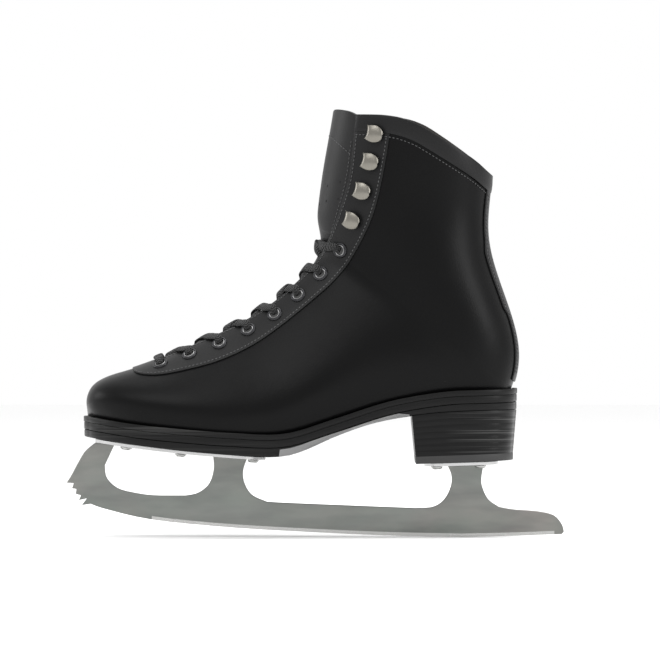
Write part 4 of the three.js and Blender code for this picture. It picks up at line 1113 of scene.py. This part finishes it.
def crossing(start, end, over):
    """From under one eyelet to above the next one opposite, over the tongue and the facing's edge."""
    a, b = start.side, end.side

    def at(share):
        return start.s + (end.s - start.s) * share

    lift = LACE_THICKNESS / 2 + 0.15 - TONGUE_DROP + (LACE_THICKNESS + 0.1) * over
    ridge_normal = skin_normal(at(0.5), 0.0, a)
    half = throat_angle(at(0.38), a) / 2
    quarter = throat_angle(at(0.63), b) / 2
    stops = [
        (start.at(0.5, -3.6), start.out, 3.2),
        (*near_throat(at(0.1), a, -3.0, -3.6), 5.0),
        (*near_throat(at(0.22), a, 1.0, -3.2), LACE_WIDTH),
        (skin(at(0.36), half, a, lift - 0.2), skin_normal(at(0.36), half, a), LACE_WIDTH),
        (skin(at(0.5), 0.0, a, lift + 0.3), ridge_normal, LACE_WIDTH),
        (skin(at(0.62), quarter, b, lift + 0.9), skin_normal(at(0.62), quarter, b), LACE_WIDTH),
        (*near_throat(at(0.73), b, 0.8, FACING_LIFT + 1.0), LACE_WIDTH),
        (*near_throat(at(0.82), b, -2.0, FACING_LIFT + 1.25), LACE_WIDTH - 0.3),
        (end.at(4.8, 1.7), end.out, 5.4),
        (end.at(2.3, 1.35), end.out, 4.4),
        (end.at(0.5, 0.2), end.out + end.toward * 0.7, 3.9),
        (end.at(-0.2, -1.4), end.out + end.toward * 2.0, 3.6),
    ]
    return stops


def bar():
    """The first crossing, straight over from one front eyelet to the other."""
    left, right = EYELETS[-1][0], EYELETS[1][0]
    s = (left.s + right.s) / 2 - 0.02
    stops = []
    for place, order in ((left, 1), (right, -1)):
        half = [
            (place.at(-0.2, -1.4), place.out + place.toward * 2.0, 3.6),
            (place.at(0.5, 0.2), place.out + place.toward * 0.7, 4.0),
            (place.at(2.3, 1.4), place.out, 4.6),
            (place.at(4.8, 1.9), place.out, 5.6),
            (*near_throat(s, place.side, 0.5, FACING_LIFT + 1.7), LACE_WIDTH),
        ]
        stops.append(half if order > 0 else half[::-1])
    middle = [(skin(s, 0.0, -1, FACING_LIFT + 1.6), skin_normal(s, 0.0, -1), LACE_WIDTH)]
    return stops[0] + middle + stops[1]


def make_lace():
    strands = [bar()]
    for i in range(len(EYELET_PLACES) - 1):
        for a in (-1, 1):
            over = (i % 2 == 0) == (a < 0)
            strands.append(crossing(EYELETS[a][i], EYELETS[-a][i + 1], over))
    points, faces, uvs = [], [], []
    for stops in strands:
        route = spline([p for p, _, _ in stops], LACE_STEPS)
        normals = spline([n for _, n, _ in stops], LACE_STEPS)
        widths = spline([[w, 0, 0] for _, _, w in stops], LACE_STEPS)[:, 0]
        some_points, some_faces, some_uvs = ribbon(route, normals, widths)
        start = len(points)
        points += some_points
        faces += [tuple(start + i for i in face) for face in some_faces]
        uvs += some_uvs
    add_lace_piece("laced_braid", points, faces, uvs, ["lace"])


def add_lace_piece(name, points, faces, uvs, hides):
    mesh = draft_mesh(name, points, faces)
    mesh.uv_layers.new(name="along").data.foreach_set("uv", np.array(uvs, np.float32).ravel())
    return add_piece(name, faced_outwards(mesh), [LACE_FINISH], slot="lace", hides=hides, smooth_angle=60)


# The free ends: down inside the boot, then forward along the footbed and back.
TAIL_DOWN = [
    (24, 19.5, 187), (32, 22.5, 181), (42, 26, 170), (51, 28, 155), (59, 28.5, 138), (66, 27, 121), (68, 24.5, 110),
]
TAIL_ALONG = [
    (60, 22), (44, 22.5), (22, 24), (0, 26), (-22, 28), (-46, 29), (-70, 28.5), (-90, 26), (-103, 20.5), (-106.5, 14),
    (-102, 7.8), (-90, 5), (-70, 5), (-46, 5), (-22, 5), (0, 5), (20, 5),
]
TAIL_RISE = 8.1  # from the seat to the middle of the lace on the footbed
TAIL = TAIL_DOWN + [(x, y, seat_height(x) + TAIL_RISE) for x, y in TAIL_ALONG]
TAIL_WIDTH = 3.0


def make_tails():
    for side, word in SIDES:
        last = EYELETS[side][-1]
        start = [last.at(-0.1, -3.0), last.at(-1.2, -6.0)]
        route = spline(start + [np.array((x, side * y, z)) for x, y, z in TAIL], 5)
        normals = []
        upright = np.array((0.0, side * 1.0, 0.0))
        for p, t in zip(route, np.gradient(route, axis=0)):
            flat = np.clip((104 - p[2]) / 12, 0, 1)
            normals.append(upright * (1 - flat) + np.array((0, 0, 1.0)) * flat)
        points, faces, uvs = ribbon(route, normals, [TAIL_WIDTH] * len(route), TAIL_WIDTH * 0.9, 10)
        tail = add_lace_piece(f"lace_end_{word}", points, faces, uvs, [f"lace_tail_{word}"])
        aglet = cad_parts[f"aglet_{word}"].data
        aglet.materials.clear()
        aglet.materials.append(AGLET_FILM)


# ---- Tongue ----

TONGUE_TOP = 283.3
TONGUE_WALL = 3.4
TONGUE_CROWN = 3.2  # how far the padded leaf bulges out over the ankle


def tongue_half(s, side):
    """Half the tongue's width as an angle: tucked under the facing below the fold, and clear of it above."""
    angle = throat_angle(min(s, 20.8), side)
    open_share = np.clip((s - 14.35) / 0.5, 0, 1)
    tuck = 7.0 * (1 - open_share) + 0.9 * open_share
    return angle + tuck / speed_at(s, angle, side)


def tongue_point(s, share, side, lift=0.0):
    rise = np.clip((s - 13.4) / 3.2, 0, 1)
    middle = TONGUE_DROP - TONGUE_CROWN * rise * rise * (3 - 2 * rise)
    wing = 2.4 + 3.4 * np.clip((14.95 - s) / 0.5, 0, 1)
    drop = middle + (wing - middle) * abs(share) ** 2.2
    return skin(s, tongue_half(s, side) * abs(share), side, lift - drop)


def tongue_top(share, side):
    """The section at which a column of the tongue meets its rounded top."""
    rounding = 1.6 * max(1 - share / 0.3, 0) ** 2 + 6.5 * share**4
    return last_below(lambda s: tongue_point(s, share, side)[2] < TONGUE_TOP - rounding)


def evaluated_mesh(piece):
    """The plain mesh that a piece's modifiers make."""
    bpy.context.view_layer.update()
    return bpy.data.meshes.new_from_object(piece.evaluated_get(bpy.context.evaluated_depsgraph_get()))


def applied(piece):
    mesh = evaluated_mesh(piece)
    piece.modifiers.clear()
    piece.data = mesh
    return piece


def blend_over_fold(piece):
    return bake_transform(piece)


def make_tongue():
    shares = np.linspace(0, 1, 17)
    tops = {(side, share): tongue_top(share, side) for side in (-1, 1) for share in shares}

    def place(side, s, share):
        s = trimmed(s, tops[side, share])
        return tongue_point(s, share, side)

    rows = np.concatenate([np.arange(4.95, 14, 0.16), np.linspace(14, LAST, 70)])
    piece = shell(
        "padded_tongue", rows, shares, place, TONGUE_WALL, [TONGUE_LEATHER], rim=1.2, slot="tongue_leather",
        hides=["tongue_lower", "tongue_upper"], ride=False, smooth_angle=60,
    )
    blend_over_fold(applied(piece))


# ---- Stitching and perforations ----


def stitch_tree():
    """Small threads laid end to end along every line of the mesh."""
    tree = bpy.data.node_groups.new("stitch_row", "GeometryNodeTree")
    inputs = (("Geometry", "Geometry"), ("Pitch", "Float"), ("Thread", "Vector"), ("Finish", "Material"))
    for label, kind in inputs:
        tree.interface.new_socket(label, in_out="INPUT", socket_type="NodeSocket" + kind)
    tree.interface.new_socket("Geometry", in_out="OUTPUT", socket_type="NodeSocketGeometry")
    given = tree.nodes.new("NodeGroupInput").outputs
    curve = node(tree, "GeometryNodeMeshToCurve", Mesh=given["Geometry"]).outputs[0]
    even = node(tree, "GeometryNodeResampleCurve", mode="LENGTH", Curve=curve, Length=given["Pitch"])
    bead = node(tree, "GeometryNodeMeshUVSphere", Segments=8, Rings=6, Radius=0.5).outputs["Mesh"]
    thread = node(tree, "GeometryNodeTransform", Geometry=bead, Scale=given["Thread"]).outputs[0]
    tangent = tree.nodes.new("GeometryNodeInputTangent").outputs[0]
    align = node(tree, "FunctionNodeAlignRotationToVector", axis="Z", Vector=tangent).outputs[0]
    row = node(
        tree, "GeometryNodeInstanceOnPoints", Points=even.outputs[0], Instance=thread, Rotation=align,
    ).outputs[0]
    plain = node(tree, "GeometryNodeRealizeInstances", Geometry=row).outputs[0]
    painted = node(tree, "GeometryNodeSetMaterial", Geometry=plain, Material=given["Finish"]).outputs[0]
    tree.links.new(painted, tree.nodes.new("NodeGroupOutput").inputs[0])
    return tree


STITCH_TREE = stitch_tree()
STITCH_PITCH = 2.6
STITCH_SIZE = (0.55, 0.55, 1.7)


def tree_input(label):
    sockets = STITCH_TREE.interface.items_tree
    return next(item.identifier for item in sockets if item.name == label and item.in_out == "INPUT")


def sewn(name, lines, **how):
    """Stitches along lines in millimetres, as one plain mesh."""
    points, edges = [], []
    for line in lines:
        start = len(points)
        points += [tuple(float(c) * MM for c in p) for p in line]
        edges += [(start + i, start + i + 1) for i in range(len(line) - 1)]
    mesh = bpy.data.meshes.new(name)
    mesh.from_pydata(points, edges, [])
    draft = bpy.data.objects.new(name + "_lines", mesh)
    bpy.context.scene.collection.objects.link(draft)
    rows = draft.modifiers.new("rows", "NODES")
    rows.node_group = STITCH_TREE
    rows[tree_input("Pitch")] = STITCH_PITCH * MM
    rows[tree_input("Thread")] = [c * MM for c in STITCH_SIZE]
    rows[tree_input("Finish")] = THREAD
    made = evaluated_mesh(draft)
    bpy.data.objects.remove(draft)
    made.name = name
    made.materials.clear()
    return add_piece(name, made, [THREAD], smooth_angle=80, **how)


def beside(angle_at, s, side, inset, offset):
    """A point inset from an edge line, towards the ridge where inset is positive."""
    angle = angle_at(s, side)
    speed = np.linalg.norm(skin(s, angle + 0.02, side) - skin(s, angle - 0.02, side)) / 0.04
    return skin(s, angle - inset / max(speed, 1.0), side, offset)


def below_collar(angle_at, side, drop):
    return under_collar(lambda s: angle_at(s, side), side) - drop


def joined(left, right):
    """One line through a left and a right half that both start at the middle."""
    return left[::-1] + right


def make_stitching():
    def facing_half(side):
        rows = np.concatenate([
            FACING_START + np.array([0.06, 0.1, 0.16, 0.24, 0.34]),
            np.arange(4.6, below_collar(facing_angle, side, 0.55), 0.12),
        ])
        return [beside(facing_angle, s, side, 1.9, FACING_LIFT + 0.1) for s in np.sort(rows)]

    lines = [joined(facing_half(-1), facing_half(1))]
    for side, _ in SIDES:
        rows = np.arange(THROAT_START + 0.12, below_collar(throat_angle, side, 0.5), 0.12)
        lines.append([beside(throat_angle, s, side, -1.9, FACING_LIFT + 0.1) for s in rows])
        for inset in (-1.7, -4.2):
            rows = np.arange(14.5, below_collar(stay_angle, side, 0.45), 0.12)
            lines.append([beside(stay_angle, s, side, inset, 1.1) for s in rows])
    sewn("boot_stitching", lines, slot="upper_leather")

    angle = between(throat_angle, back_line)
    band = []
    for side, _ in SIDES:
        line = []
        for u in np.linspace(0.02, 1, 50):
            s = under_collar(lambda s: angle(side, s, u), side) - 0.5
            line.append(skin(s, angle(side, s, u), side, 1.25 if u < 0.25 else 0.35))
        band.append(line)
    sewn("collar_stitching", band, slot="upper_leather")

    def tongue_row(side):
        return [tongue_point(20.05 - 0.5 * share**2, share, side, 0.1) for share in np.linspace(0, 0.86, 16)]

    edges = [[tongue_point(s, 0.88, side, 0.15) for s in np.arange(15.2, 20.0, 0.12)] for side in (-1, 1)]
    across = joined(tongue_row(-1), tongue_row(1)[1:])
    blend_over_fold(sewn("tongue_stitching", [across, *edges], slot="tongue_leather", ride=False))


# section and share of the half width of each vent hole on one side of the tongue
VENTS = [(17.0, 0.18), (17.35, 0.5), (17.7, 0.8), (17.85, 0.12), (18.2, 0.45), (18.55, 0.75), (18.75, 0.1)]


def make_vents():
    parts = []
    for side in (-1, 1):
        for s, share in VENTS:
            here = tongue_point(s, share, side, 0.03)
            out = skin_normal(s, tongue_half(s, side) * share, side)
            u = np.cross(out, (0.0, 0.0, 1.0))
            u = u / np.linalg.norm(u)
            w = np.cross(out, u)
            turns = np.linspace(0, 2 * math.pi, 13)[:-1]
            ring = [here + 0.85 * (u * math.cos(t) + w * math.sin(t)) for t in turns]
            deep = [p - out * 0.9 for p in ring]
            faces = [tuple(range(12)), tuple(range(12, 24))[::-1]]
            faces += [(k, (k + 1) % 12, 12 + (k + 1) % 12, 12 + k) for k in range(12)]
            parts.append((ring + deep, faces, 0))
    # Each vent is a near-black plug at the tongue's surface: painted shade where the hole is.
    mesh = marked_mesh("tongue_vents", *gathered(parts))
    blend_over_fold(add_piece("tongue_vents", mesh, [VENT_PAINTED_SHADE], slot="tongue_leather", ride=False))


def hide_inner_pieces():
    """Pieces that nothing shows of keep their own plain finish."""
    for name in ("toe_puff", "heel_counter", "insole_board", "cork_filler", "shank"):
        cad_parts[name].data.materials.clear()
        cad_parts[name].data.materials.append(EDGE_PAINT)


add_camera()
add_floor()
add_sky(1.0)
add_light("front_softbox", (-0.9, -1.7, 1.9), (1.6, 1.2), 20)
add_light("top_softbox", (0.25, 0.1, 2.1), (1.8, 1.4), 30)
add_light("rear_strip", (1.9, -0.9, 1.0), (0.5, 1.6), 22)
add_light("toe_card", (-1.8, 0.3, 0.7), (0.8, 0.8), 8)
make_upper()
make_facing()
make_back_stay()
collar_band()
make_soles()
make_heel()
make_steel()
make_eyelets()
make_hooks()
make_lace()
make_tails()
make_tongue()
make_stitching()
make_vents()
hide_inner_pieces()
